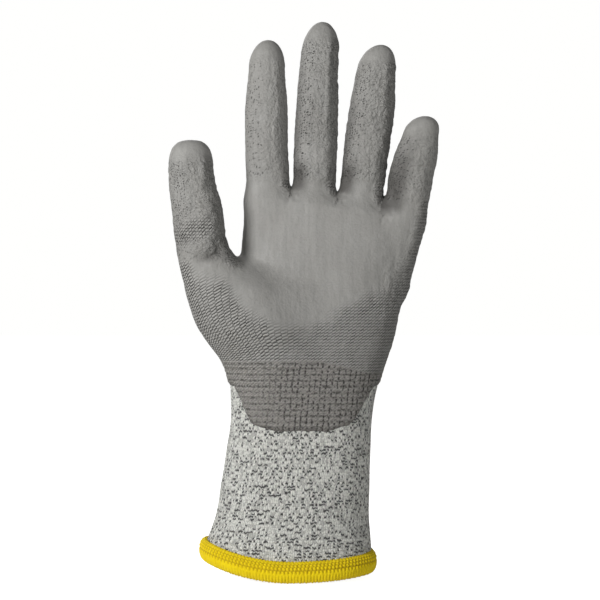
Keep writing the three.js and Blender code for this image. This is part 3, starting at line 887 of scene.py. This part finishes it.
class Value:
    """A number or colour inside a material's nodes. Arithmetic with it adds maths nodes."""

    def __init__(self, nodes, socket):
        self.nodes, self.socket = nodes, socket

    def __add__(self, other):
        return self.nodes.math("ADD", self, other)

    def __sub__(self, other):
        return self.nodes.math("SUBTRACT", self, other)

    def __mul__(self, other):
        return self.nodes.math("MULTIPLY", self, other)

    def __truediv__(self, other):
        return self.nodes.math("DIVIDE", self, other)

    def __abs__(self):
        return self.nodes.math("ABSOLUTE", self)


class Nodes:
    """Short calls for writing a material as nodes. Numbers and Values both serve as inputs."""

    def __init__(self, name):
        self.material = bpy.data.materials.new(name)
        self.material.use_nodes = True
        self.tree = self.material.node_tree
        self.surface = self.tree.nodes["Principled BSDF"]

    def node(self, kind, **settings):
        node = self.tree.nodes.new(kind)
        for key, value in settings.items():
            setattr(node, key, value)
        return node

    def feed(self, socket, value):
        if isinstance(value, Value):
            self.tree.links.new(value.socket, socket)
        elif value is not None:
            socket.default_value = value

    def made(self, node, inputs, output=0):
        """A node's output as a Value, once its first inputs are fed."""
        for socket, value in zip(node.inputs, inputs):
            self.feed(socket, value)
        return Value(self, node.outputs[output])

    def math(self, operation, *inputs):
        return self.made(self.node("ShaderNodeMath", operation=operation), inputs)

    def ramp(self, value, low, high, to_low=0.0, to_high=1.0):
        """A smooth step between two input values."""
        node = self.node("ShaderNodeMapRange", interpolation_type="SMOOTHSTEP")
        return self.made(node, (value, low, high, to_low, to_high))

    def blend(self, share, a, b):
        """A colour between two colours."""
        node = self.node("ShaderNodeMix", data_type="RGBA", clamp_factor=True)
        for socket, value in zip((node.inputs[0], node.inputs[6], node.inputs[7]), (share, a, b)):
            self.feed(socket, value)
        return Value(self, node.outputs[2])

    def stitch(self):
        """Wale and course distances, in millimetres."""
        place = self.made(self.node("ShaderNodeUVMap", uv_map="stitch"), ())
        parts = self.node("ShaderNodeSeparateXYZ")
        return self.made(parts, (place,)), self.made(parts, (place,), 1)

    def value(self, name):
        """A value the mesh carries at its points."""
        return self.made(self.node("ShaderNodeAttribute", attribute_name=name), (), "Fac")

    def noise(self, size, detail=2.0, stretch=None):
        """Smooth noise, from 0 to 1, with features about this many millimetres across."""
        place = self.made(self.node("ShaderNodeTexCoord"), (), "Object")
        if stretch:
            place = self.made(self.node("ShaderNodeVectorMath", operation="MULTIPLY"), (place, stretch))
        node = self.node("ShaderNodeTexNoise")
        node.inputs["Scale"].default_value = 1 / (size * MM)
        node.inputs["Detail"].default_value = detail
        return self.made(node, (place,), "Fac")

    def random(self, *cell):
        """A number from 0 to 1 that is fixed for each whole x, y and z."""
        vector = self.made(self.node("ShaderNodeCombineXYZ"), cell)
        return self.made(self.node("ShaderNodeTexWhiteNoise", noise_dimensions="3D"), (vector,), "Value")

    def bump(self, height, depth, strength=1.0):
        node = self.node("ShaderNodeBump")
        node.inputs["Strength"].default_value = strength
        node.inputs["Distance"].default_value = depth * MM
        self.feed(node.inputs["Height"], height)
        return Value(self, node.outputs[0])

    def finish(self, colour, roughness, normal, sheen=0.0, specular=0.4):
        settings = {"Base Color": colour, "Roughness": roughness, "Normal": normal, "Sheen Weight": sheen,
                    "Sheen Roughness": 0.6, "Specular IOR Level": specular}
        for name, value in settings.items():
            self.feed(self.surface.inputs[name], value)
        return self.material


def stitch_cell(nodes, lean, wander, rise, width, shuffled=False, one_leg=False):
    """The stitch a place is in: its column and row, then the signed place across it and the place up it."""
    wale, course = nodes.stitch()
    wale = (nodes.noise(1.7, 1.0) - 0.5) * (4 * wander) + wale
    course = (nodes.noise(2.3, 1.0, stretch=(1, 1, -1)) - 0.5) * (4 * wander) + course
    across = wale / width
    column = nodes.math("FLOOR", across)
    side = nodes.math("FRACT", across) - 0.5
    up = course / rise - (side if one_leg else abs(side)) * lean
    if shuffled:
        up = up + nodes.random(column, 3.0)
    return column, nodes.math("FLOOR", up), side, nodes.math("FRACT", up)


def knit_material():
    """Melange yarn: light and mid grey stitches with short dark flecks on single legs."""
    nodes = Nodes("melange_knit")
    column, row, side, up = stitch_cell(nodes, LEG_LEAN, 0.42, COURSE, WALE)
    away = abs(side)
    leg = nodes.math("SIGN", side)
    height = nodes.math("SINE", up * math.pi) * (nodes.ramp(away, 0, 0.12) * nodes.ramp(away, 0.5, 0.36))
    share = nodes.noise(7, 2.0) * 0.28 + (FLECK_SHARE - 0.14)
    fleck = nodes.ramp(nodes.random(column, row, leg) - share, 0.0, -0.03)
    fleck = fleck * nodes.ramp(abs(up - 0.5), 0.38, 0.2)
    greyer = nodes.ramp(nodes.random(row, column, leg + 4.0), 0.62, 0.7)
    yarn = nodes.blend(nodes.noise(2.5, 3.0), KNIT_PALE, KNIT_WHITE)
    yarn = nodes.blend(greyer * 0.5, yarn, KNIT_GREY)
    yarn = nodes.blend(fleck * 0.93, yarn, KNIT_FLECK)
    # painted shade where the stitch legs dip into their gaps
    colour = nodes.blend(nodes.ramp(height, 0.34, 0.0) * 0.55, yarn, KNIT_PAINTED_SHADE)
    normal = nodes.bump(height + nodes.noise(0.35, 2.0) * 0.35, 0.35, 0.9)
    return nodes.finish(colour, 0.92, normal, sheen=0.25, specular=0.2)


def film_strokes(nodes):
    """The slanting stitch legs that print through the film, and the gaps between them, as a painted shadow
    under each leg.
    """
    column, row, side, up = stitch_cell(nodes, SLANT_LEAN, 0.16, PRINT_COURSE, WALE, one_leg=True)
    stroke = nodes.math("SINE", up * math.pi) * nodes.ramp(abs(side), 0.54, 0.4, 0.45, 1.0)
    deep = nodes.noise(3, 2.0) * 0.9 + nodes.random(column, row) * 0.55
    return stroke, nodes.ramp(stroke, 0.8, 0.2) * deep


def film_pinholes(nodes):
    """Scattered pinholes, more of them where the mesh's pins value is high."""
    cell = stitch_cell(nodes, 0.45, 0.5, PIN_COURSE, PIN_WALE, shuffled=True, one_leg=True)
    column, row, side, up = cell
    hole = nodes.ramp(abs(side), PIN_HALF + 0.1, PIN_HALF - 0.1) * nodes.ramp(abs(up - 0.5), 0.3, 0.12)
    luck = nodes.random(column, row, 7.0) - nodes.value("pins")
    return hole * nodes.ramp(luck, 0.05, -0.55)


def film_grid(nodes, gap):
    """The dark lines of the tucked grid over the wrist, with the painted shadow under the printed strokes.
    """
    wale, course = nodes.stitch()
    bend = (nodes.noise(3.0, 2.0) - 0.5) * 2.4
    columns, rows = (nodes.math("COSINE", way * (2 * math.pi / WAFFLE) + bend) for way in (wale, course))
    column_gap = nodes.ramp(columns, 0.0, -0.9) * nodes.value("weave")
    grid = nodes.math("MAXIMUM", nodes.ramp(rows, 0.2, -0.7) * 0.75, column_gap)
    grid = grid * nodes.ramp(nodes.noise(1.0, 3.0), 0.38, 0.6, 0.15, 1.1)
    return nodes.math("MAXIMUM", grid, gap * 0.55) * nodes.value("waffle")


def film_material():
    """A thin polyurethane dip, where the knit prints through as slanting strokes, a grid or pinholes."""
    nodes = Nodes("dipped_film")
    waffle, slant, leather = (nodes.value(name) for name in ("waffle", "slant", "leather"))
    stroke, gap = film_strokes(nodes)
    hole = film_pinholes(nodes)
    grid = film_grid(nodes, gap)

    streaks = nodes.noise(2.2, 3.0, stretch=(1, 1, 0.12))
    base = nodes.blend(nodes.noise(16, 3.0), FILM_DARKER, FILM_LIGHTER)
    base = nodes.blend(nodes.ramp(streaks, 0.35, 0.7, 0.0, 0.3), base, FILM_STREAK)
    base = nodes.blend(waffle * 0.6, base, FILM_WAFFLE)
    speckle = nodes.ramp(nodes.noise(0.9, 3.0), 0.5, 0.72)
    base = nodes.blend(speckle * (leather * 0.42 + 0.12), base, FILM_SPECKLE)
    # painted shade on finger flanks and by the thumb's root, darkening the film's colour
    base = nodes.blend(nodes.value("painted_shade") * 0.9, base, FILM_PAINTED_SHADE)
    base = nodes.blend(nodes.value("edge"), base, FILM_BORDER)
    # the dark pinholes and grid lines, and painted shadow in the gaps under the printed strokes
    dark = nodes.math("MAXIMUM", gap * slant, nodes.math("MAXIMUM", grid, hole * 0.9))
    colour = nodes.blend(dark, base, FILM_GAP_AND_SHADE)
    # painted highlight on the crests of the printed strokes
    painted_highlight = nodes.ramp(stroke, 0.75, 1.0) * (slant * 0.35)
    colour = nodes.blend(painted_highlight, colour, FILM_PAINTED_HIGHLIGHT)

    bumps = nodes.noise(2.6, 3.0) + nodes.noise(1.1, 3.0) * 0.7
    relief = stroke * (nodes.math("MAXIMUM", slant, waffle) * 1.6) - hole * 1.8
    relief = relief + bumps * (leather * 17.0 + 1.0) - grid + streaks * 0.5
    rough = nodes.ramp(nodes.noise(5, 3.0), 0.3, 0.7, 0.54, 0.68)
    return nodes.finish(colour, rough, nodes.bump(relief, 0.26), sheen=0.04, specular=0.42)


def yarn_material(name, light, dark, period):
    """Textured overlock yarn: fine filaments along it, and painted shade in its hollows, darker and fuller
    coloured.
    """
    nodes = Nodes(name)
    filaments = nodes.noise(0.4, 2.0, stretch=(1, 1, 0.35))
    base = nodes.blend(nodes.noise(6, 2.0), light, dark)
    base = nodes.blend(filaments * 0.25, base, dark)
    # painted shade in the hollows between the wrap's raised turns
    colour = nodes.blend(nodes.value("low") * 0.85, base, HEM_PAINTED_SHADE)
    normal = nodes.bump(filaments * 0.6 + nodes.noise(period, 1.0) * 0.5, 0.12, 0.8)
    return nodes.finish(colour, 0.85, normal, sheen=0.08, specular=0.15)


def elastic_material():
    nodes = Nodes("covered_elastic")
    twist = nodes.noise(0.5, 1.0, stretch=(1, 1, 3))
    colour = nodes.blend(twist, ELASTIC_DARK, ELASTIC_LIGHT)
    return nodes.finish(colour, 0.8, nodes.bump(twist, 0.15, 0.8), sheen=0.2, specular=0.3)


KNIT = knit_material()
FILM_SKIN = film_material()
HEM_YARN = yarn_material("hem_yarn", HEM_LIGHT, HEM_DARK, 1.2)
NEEDLE_YARN = yarn_material("needle_yarn", NEEDLE_LIGHT, NEEDLE_DARK, 0.7)
ELASTIC = elastic_material()


# ---------- the skin pieces ----------
SMOOTH_FLOOR = 117.0  # height of the smooth palm's lower edge
SMOOTH_EDGE = 5.0
# where the digits' own prints take over from the palm's, as limits across and up
THUMB_SIDE = (-31, -35)
THUMB_START = (146, 152)
FINGER_SIDE = -30
FINGER_START = (183, 189)
LITTLE_SIDE = 39
LITTLE_START = (174, 179)
GRID_START = (66, 69)
# painted shade on the darker left flanks, standing in for a neighbour's shadow: the finger, how far they
# reach above its fold, and how far across it they start
PAINTED_SHADE_FLANKS = (
    ("middle", 9, -0.1),
    ("middle", 70, -0.55),
    ("ring", 12, -0.1),
    ("ring", 62, -0.5),
    ("little", 36, 0.1),
)
GRAIN = 0.6  # leathery unevenness of the film
FILM_TAPER = 2.4  # the film thins over this distance from its border
FINE_ZONES = ("cuff", "wrist")


def on_digits(points):
    """1 where a digit's own prints show, 0 on the palm."""
    x, _, z = points.T
    thumb = smoothstep(*THUMB_SIDE, x) * smoothstep(*THUMB_START, z)
    finger = smoothstep(*FINGER_START, z) * (x > FINGER_SIDE)
    little = smoothstep(*LITTLE_START, z) * (x > LITTLE_SIDE)
    return np.maximum(np.maximum(finger, little), thumb)


def clear_of_tips(z, nearest):
    """1 up each digit, fading out before its tip."""
    clear = np.zeros(len(z))
    for name in DIGITS:
        top = LIMBS[name].top
        clear = np.where(nearest == name, smoothstep(top - 7, top - 13, z), clear)
    return clear


def slanting_strokes(points, normals, palm):
    """Where stitch legs print through: low on the palm, along its sides and over the thumb's root."""
    x, _, z = points.T
    # the smooth, worn part of the palm has a lower edge that climbs to both sides
    floor = SMOOTH_FLOOR + 16 * smoothstep(2, 34, x) + 8 * smoothstep(-12, -26, x)
    floor = floor + 14 * smoothstep(-24, -38, x)
    low = smoothstep(floor + SMOOTH_EDGE, floor - SMOOTH_EDGE, z + 3 * noise_at(points, 7, 4.0))
    thumb_flank = 1.25 * smoothstep(-0.3, -0.7, normals[:, 0]) * smoothstep(152, 144, z)
    flank = np.maximum(thumb_flank, smoothstep(0.35, 0.8, normals[:, 0]))
    root = near_hinge("thumb_root_fold", -14, 1), near_hinge("thumb_root_fold", 6, 8)
    return np.maximum(palm * np.maximum(low, flank), 1.2 * ridge(points, *root, 4.5, 0.05))


def painted_shade_places(points, nearest):
    """Painted shade, where neighbouring fingers and folds would shadow the film: darker finger flanks, and
    hollows beside the thumb's root.
    """
    x, _, z = points.T
    painted_shade = np.zeros(len(points))
    for name, length, across in PAINTED_SHADE_FLANKS:
        cx, _, a, _ = LIMBS[name].ring(z)
        height = z - hinge(f"{name}_root_fold")[2]
        flank = smoothstep(across, across - 0.6, (x - cx) / a) * smoothstep(length, 0, height)
        painted_shade = np.maximum(painted_shade, flank * smoothstep(-12, -6, height) * (nearest == name))
    root = "thumb_root_fold"
    crease = near_hinge(root, 0, -9.5), near_hinge(root, 13, -3)
    dip = near_hinge(root, 12, -3.5), near_hinge(root, 17, 4)
    painted_shade = np.maximum(painted_shade, 0.7 * ridge(points, *crease, 2.6, 0.3))
    return np.maximum(painted_shade, 0.6 * ridge(points, *dip, 4.0, 0.3))


def film_values(points, normals, reach):
    """How strongly each print of the knit shows at each point."""
    x, _, z = points.T
    left, right = smoothstep(0.1, -0.6, normals[:, 0]), smoothstep(0.15, 0.75, normals[:, 0])
    above_grid = z - (WAFFLE_TOP - WAFFLE_DROP * smoothstep(5, 38, x))
    digit = on_digits(points)
    palm = smoothstep(-0.5, 0.8, above_grid) * (1 - digit)
    nearest = nearest_digit(points)
    shaft = digit * clear_of_tips(z, nearest)
    patch = 0.5 + 0.5 * noise_at(points, 12, 8.0)
    fewer = np.where(nearest == "index", 0.7, 1.0)
    pins = shaft * (0.22 + 0.75 * left) * (0.45 + 0.8 * patch) * fewer
    worn = np.where(np.isin(nearest, ["index", "little"]), 0.45, 1.0)
    leather = worn * shaft * (0.35 + 0.65 * right) * (0.35 + 0.75 * patch)
    leather = np.maximum(leather, 0.4 * palm * smoothstep(0.3, 0.7, normals[:, 0]))
    return {
        "waffle": smoothstep(*GRID_START, z) * smoothstep(0.4, -0.6, above_grid),
        "weave": 0.35 + 0.55 * smoothstep(-26, -4, x),
        "slant": slanting_strokes(points, normals, palm),
        "pins": np.clip(pins, 0, 1),
        "leather": leather,
        "edge": 0.8 * smoothstep(2.2, 0.0, reach) * np.where(z < 104, 1.0, 0.5),
        # painted shade for finger flanks and the thumb root's hollows
        "painted_shade": painted_shade_places(points, nearest),
    }


def relief_heights(points, stitches, waffle):
    """How far the knit and the film stand out for stitches and grid, in millimetres."""
    wale, course = stitches.T
    fade = smoothstep(WRIST_END, WRIST_END - 3, points[:, 2])
    knit = KNIT_RISE * (knit_relief(wale, course) - 0.5) * fade
    return knit, WAFFLE_RISE * waffle * (waffle_relief(wale, course) - 0.5) * fade


def film_depths(points, reach, detail, leather):
    """The film's outer and inner faces: full inside, thin and pressed into the knit at its border."""
    inside = smoothstep(0, FILM_TAPER, reach)
    uneven = noise_at(points, 2.6, 9.0) + 0.5 * noise_at(points, 1.3, 2.0)
    grain = GRAIN * uneven * (0.15 + 0.9 * leather)
    border = -(LINER_FACE - FILM_EDGE)
    outer = border * (1 - inside) + grain * inside + detail
    inner = np.full(len(points), -FILM) + (border - FILM_EDGE + FILM) * (1 - inside)
    return outer, np.minimum(inner, outer - FILM_THINNEST)


def make_skins(zones, fine):
    """The knitted and dipped pieces of some zones that touch, by zone. Fine ones have raised stitches."""
    mine = np.isin(zone_numbers, [ZONES.index(zone) for zone in zones])
    used, local = np.unique(faces[mine], return_inverse=True)
    skin = points[used], normals[used], local.reshape(-1, 4), corners[mine], reach[used]
    labels, on_film = zone_numbers[mine], film_faces[mine]
    if fine:
        skin = subdivided(*skin)
        labels, on_film = np.tile(labels, 4), np.tile(on_film, 4)
    place, direction, skin_faces, skin_corners, depth = skin
    shown = film_values(place, direction, depth)
    stand_knit, stand_film = 0.0, 0.0
    if fine:
        stitches = point_stitches(len(place), skin_faces, skin_corners)
        stand_knit, stand_film = relief_heights(place, stitches, shown["waffle"])
    bare = 1 - smoothstep(0, 1.5, depth)
    outer = place + (stand_knit * bare - LINER_FACE)[:, None] * direction
    inner = place - (LINER_FACE + LINER) * direction
    knit = outer, inner, settled_normals(outer, skin_faces, direction), {}, KNIT
    film_out, film_in = film_depths(place, depth, stand_film, shown["leather"])
    outer = place + film_out[:, None] * direction
    inner = place + film_in[:, None] * direction
    film = outer, inner, settled_normals(outer, skin_faces[on_film], direction), shown, FILM_SKIN
    made = {}
    for zone in zones:
        own = labels == ZONES.index(zone)
        made[zone] = [shell(f"knit_{zone}", skin_faces[own], skin_corners[own], *knit)]
        own = own & on_film
        if own.any():
            made[zone].append(shell(f"film_{zone}", skin_faces[own], skin_corners[own], *film))
    return made


zone_numbers = zone_of(points[faces].mean(1))
corners = stitch_corners(points, faces, zone_numbers)
SKIN = make_skins(FINE_ZONES, True)
SKIN.update(make_skins([zone for zone in ZONES if zone not in FINE_ZONES], False))

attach(SKIN["cuff"][0], "cuff")
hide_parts("cuff_knit")
for piece in SKIN["wrist"]:
    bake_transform(piece)
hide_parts("wrist_crease")
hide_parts("cuff_coating")
for piece, node in zip(SKIN["hand"], ("hand_liner", "palm_coating")):
    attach(piece, "hand")
    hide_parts(node)
for name in DIGITS:
    for label, _, start, end, below, above in DIGIT_ZONES[name]:
        fold = label.replace("_lower", "_root")
        for piece in SKIN[label]:
            Vector((0, 0, start * MM))
            Vector((0, 0, end * MM))
            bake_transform(piece)
        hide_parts(f"{label}_liner", f"{fold}_crease")
        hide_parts(f"{label}_coating")


# ---------- the overlocked hem ----------
HEM_HEIGHT = 9.3
HEM_BULGE = 2.3  # how far the wrap stands out from the knit
WRAP_PITCH = 3.0
AROUND_STEPS = 960
PROFILE_STEPS = 64
LOOP_ROWS = 8.5
LOOP_PITCH = 1.75
RIB_PITCH = 1.45
CHAIN_PLACE = 0.44
WRAP_RISE = 0.75
HEM_INSIDE = 1.9
HEM_BASE = 0.35
OVERLAP_RISE = 0.5
OVERLAP_REACH = 9.0
OVERLAP_PLACE = 0.7  # share of the way round, starting from the middle of the back
NEEDLE_LINKS = 132
NEEDLE_STEPS = 14
NEEDLE_RADIUS = 0.42
YARN_SIDES = 8


def hem_section(steps):
    """The wrap's outline across the hem: outward and upward distances from the knit's cut edge.

    It runs up the outer face, over the top onto the knit, through the knit, and down the inner face.
    """
    turn = np.linspace(0, 2 * math.pi, steps, endpoint=False)
    half = HEM_BULGE + LINER / 2
    out = half * np.sign(np.sin(turn)) * np.abs(np.sin(turn)) ** 0.8
    up = HEM_HEIGHT / 2 - HEM_HEIGHT / 2 * np.sign(np.cos(turn)) * np.abs(np.cos(turn)) ** 0.9
    return turn, out, up


def trunk_outline(z, steps):
    """Points and outward directions round the trunk at a height, and the distance walked to each."""
    cx, cy, a, b = (float(part) for part in LIMBS["trunk"].ring(np.array(float(z))))
    turn = np.linspace(-math.pi, math.pi, steps * 4 + 1)
    radius = ring_radius(turn, a, b, TRUNK_SQUARE)
    x, y = cx + radius * np.sin(turn), cy - radius * np.cos(turn)
    walked = np.concatenate([[0], np.cumsum(np.hypot(np.diff(x), np.diff(y)))])
    even = np.linspace(0, walked[-1], steps, endpoint=False)
    x, y = np.interp(even, walked, x), np.interp(even, walked, y)
    dx, dy = np.roll(x, -1) - np.roll(x, 1), np.roll(y, -1) - np.roll(y, 1)
    size = np.hypot(dx, dy)
    return np.stack([x, y], 1), np.stack([dy / size, -dx / size], 1), even, walked[-1]


def wrap_relief(walked, turn):
    """Raised yarn on the wrap: slanting loops above, a chain along the middle, upright turns below."""
    share = turn / math.pi
    share = np.where(share > 1, 2 - share, share)
    rows = (share - CHAIN_PLACE) * LOOP_ROWS
    shift = 0.5 * np.floor(rows)
    loops = np.abs(np.sin(math.pi * (walked / LOOP_PITCH + shift + 0.3 * rows)))
    loops = loops * np.abs(np.sin(math.pi * rows)) ** 0.6
    ribs = np.abs(np.sin(math.pi * (walked / RIB_PITCH + 0.25 * share))) ** 0.7
    upper = smoothstep(CHAIN_PLACE - 0.02, CHAIN_PLACE + 0.05, share)
    body = upper * loops + (1 - upper) * (0.35 + 0.6 * ribs)
    link = 0.7 + 0.3 * np.abs(np.sin(math.pi * (walked / WRAP_PITCH + 2 * share)))
    chain = link * np.exp(-(((share - CHAIN_PLACE) / 0.045) ** 2))
    lumps = np.abs(np.sin(math.pi * walked / WRAP_PITCH)) * np.exp(-((share / 0.12) ** 2))
    return np.clip(np.maximum(body, chain) + 0.3 * lumps, 0, 1.2)


def closed_grid(rows, columns):
    """Faces of a grid of points that closes on itself both ways."""
    i, j = np.meshgrid(np.arange(rows), np.arange(columns), indexing="ij")
    k, l = (i + 1) % rows, (j + 1) % columns
    return np.stack([i * columns + j, k * columns + j, k * columns + l, i * columns + l], 2).reshape(-1, 4)


def make_hem_wrap():
    """The looper yarn wrapped round the cut edge, one closed skin with its turns raised."""
    outline, outward, walked, length = trunk_outline(KNIT_END + 3, AROUND_STEPS)
    turn, out, up = hem_section(PROFILE_STEPS)
    walked = walked * round(length / WRAP_PITCH) * WRAP_PITCH / length
    out = np.where(out < 0, out * HEM_INSIDE / (HEM_BULGE + LINER / 2), out)
    relief = wrap_relief(walked[:, None], turn[None, :])
    middle = LINER_FACE + LINER / 2
    # the section's own outward direction, so that the turns rise from it
    slope_out, slope_up = np.gradient(out), np.gradient(up)
    size = np.hypot(slope_out, slope_up)
    lift = (relief - 0.6) * WRAP_RISE
    lap = OVERLAP_RISE * smoothstep(OVERLAP_REACH, 0, np.abs(walked - OVERLAP_PLACE * length))
    across = (out - middle)[None, :] + lift * (slope_up / size)[None, :] + lap[:, None] * (out > 0)
    height = HEM_BASE + up[None, :] - lift * (slope_out / size)[None, :]
    points = np.zeros((AROUND_STEPS, PROFILE_STEPS, 3))
    points[:, :, :2] = outline[:, None, :] + across[:, :, None] * outward[:, None, :]
    points[:, :, 2] = height + hem_lift(outline[:, 0])[:, None]
    points = points.reshape(-1, 3)
    faces = closed_grid(AROUND_STEPS, PROFILE_STEPS)
    points += 0.1 * noise_at(points, 1.1, 4.0)[:, None] * vertex_normals(points, faces)
    # how much painted shade each point of the wrap takes: more where its yarn lies low
    low = np.clip(1 - 1.6 * relief, 0, 1).ravel()
    return new_object("hem_wrap", new_mesh("hem_wrap", points, faces, {"low": low}), HEM_YARN)


def tube(path, outward):
    """Points round a closed path of yarn, a ring of them at each of its points."""
    forward = np.roll(path, -1, axis=0) - np.roll(path, 1, axis=0)
    forward /= np.linalg.norm(forward, axis=1)[:, None]
    side = np.concatenate([outward, np.zeros((len(path), 1))], 1)
    side -= (side * forward).sum(1)[:, None] * forward
    side /= np.linalg.norm(side, axis=1)[:, None]
    third = np.cross(forward, side)
    angle = np.linspace(0, 2 * math.pi, YARN_SIDES, endpoint=False)[:, None]
    ring = np.cos(angle) * side[:, None, :] + np.sin(angle) * third[:, None, :]
    return (path[:, None, :] + NEEDLE_RADIUS * ring).reshape(-1, 3)


def make_needle_chain():
    """The needle thread: a looped chain lying along the wrap's top edge."""
    steps = NEEDLE_LINKS * NEEDLE_STEPS
    outline, outward, _, _ = trunk_outline(KNIT_END + HEM_HEIGHT, steps)
    phase = np.arange(steps) / NEEDLE_STEPS * 2 * math.pi
    along = np.stack([outward[:, 1], -outward[:, 0]], 1)
    sway = outward * (-0.35 + 0.35 * np.cos(2 * phase))[:, None]
    path = np.zeros((steps, 3))
    path[:, :2] = outline + sway - along * 0.7 * np.sin(2 * phase)[:, None]
    path[:, 2] = HEM_BASE + HEM_HEIGHT - 0.4 + 0.55 * np.sin(phase) + hem_lift(outline[:, 0])
    points = tube(path, outward)
    # no painted shade on the needle thread
    values = {"low": np.zeros(len(points))}
    mesh = new_mesh("hem_needle_chain", points, closed_grid(steps, YARN_SIDES), values)
    return new_object("hem_needle_chain", mesh, NEEDLE_YARN)


for yarn, node in ((make_hem_wrap(), "hem_overlock"), (make_needle_chain(), "hem_needle_thread")):
    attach(yarn, "cuff")
    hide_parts(node)
elastic = frame["nodes"]["cuff_elastic_yarn"]
elastic.data.materials.clear()
elastic.data.materials.append(ELASTIC)


# ---------- stage, camera and light ----------
CAMERA_DISTANCE = 900.0
FRAME_WIDTH = 283.0  # how much of the glove's plane the picture spans
CAMERA_PLACE = (-1.5, 130.0)  # across and up
SENSOR = 36.0
AMBIENT = 0.13
FLOOR_GLOW = 0.93
FLOOR_HALF = 6000.0
FLOOR_GAP = 0.4  # between the floor and the glove's lowest point
SOFT_WHITE = (1, 1, 0.99, 1)
LIGHT_TARGET = (0, 0, 0.13)
# name, place, watts and size; in metres, as Blender takes them
LIGHTS = (
    ("key", (-0.64, -0.6, 0.42), 6.6, 0.28),
    ("fill", (0.6, -1.1, 0.25), 3.4, 0.8),
    ("rim", (-0.4, 0.8, 0.7), 3.0, 0.6),
)


def make_floor():
    """A pale floor that the camera sees as almost white."""
    spots = np.array([(-1, -1, 0), (1, -1, 0), (1, 1, 0), (-1, 1, 0)]) * FLOOR_HALF
    nodes = Nodes("pale_floor")
    seen = nodes.made(nodes.node("ShaderNodeLightPath"), (), "Is Camera Ray")
    nodes.surface.inputs["Emission Color"].default_value = SOFT_WHITE
    nodes.feed(nodes.surface.inputs["Emission Strength"], seen * FLOOR_GLOW)
    speckle = nodes.blend(nodes.noise(3), FLOOR_LIGHT, FLOOR_DARK)
    nodes.finish(speckle, 0.9, None, specular=0.1)
    floor = new_object("floor", new_mesh("floor", spots, np.array([[0, 1, 2, 3]])), nodes.material)
    floor.location.z = -FLOOR_GAP * MM


def add_light(name, place, watts, size):
    data = bpy.data.lights.new(name, "AREA")
    data.energy, data.size = watts, size
    light = bpy.data.objects.new(name, data)
    light.location = place
    light.rotation_euler = (Vector(LIGHT_TARGET) - light.location).to_track_quat("-Z", "Y").to_euler()
    bpy.context.scene.collection.objects.link(light)


def add_world():
    """White where the camera sees it, a dimmer white as light on the glove."""
    world = bpy.data.worlds.new("studio")
    bpy.context.scene.world = world
    world.use_nodes = True
    tree = world.node_tree
    background = tree.nodes["Background"]
    background.inputs["Color"].default_value = SOFT_WHITE
    path = tree.nodes.new("ShaderNodeLightPath")
    mix = tree.nodes.new("ShaderNodeMapRange")
    mix.inputs["To Min"].default_value = AMBIENT
    tree.links.new(path.outputs["Is Camera Ray"], mix.inputs["Value"])
    tree.links.new(mix.outputs["Result"], background.inputs["Strength"])


def add_camera():
    data = bpy.data.cameras.new("camera")
    data.sensor_width = SENSOR
    data.lens = SENSOR * CAMERA_DISTANCE / FRAME_WIDTH
    camera = bpy.data.objects.new("camera", data)
    x, z = CAMERA_PLACE
    camera.location = (x * MM, -CAMERA_DISTANCE * MM, z * MM)
    camera.rotation_euler = (math.pi / 2, 0, 0)
    bpy.context.scene.collection.objects.link(camera)
    bpy.context.scene.camera = camera


make_floor()
add_world()
for light in LIGHTS:
    add_light(*light)
add_camera()
bpy.context.scene.view_settings.view_transform = "Standard"
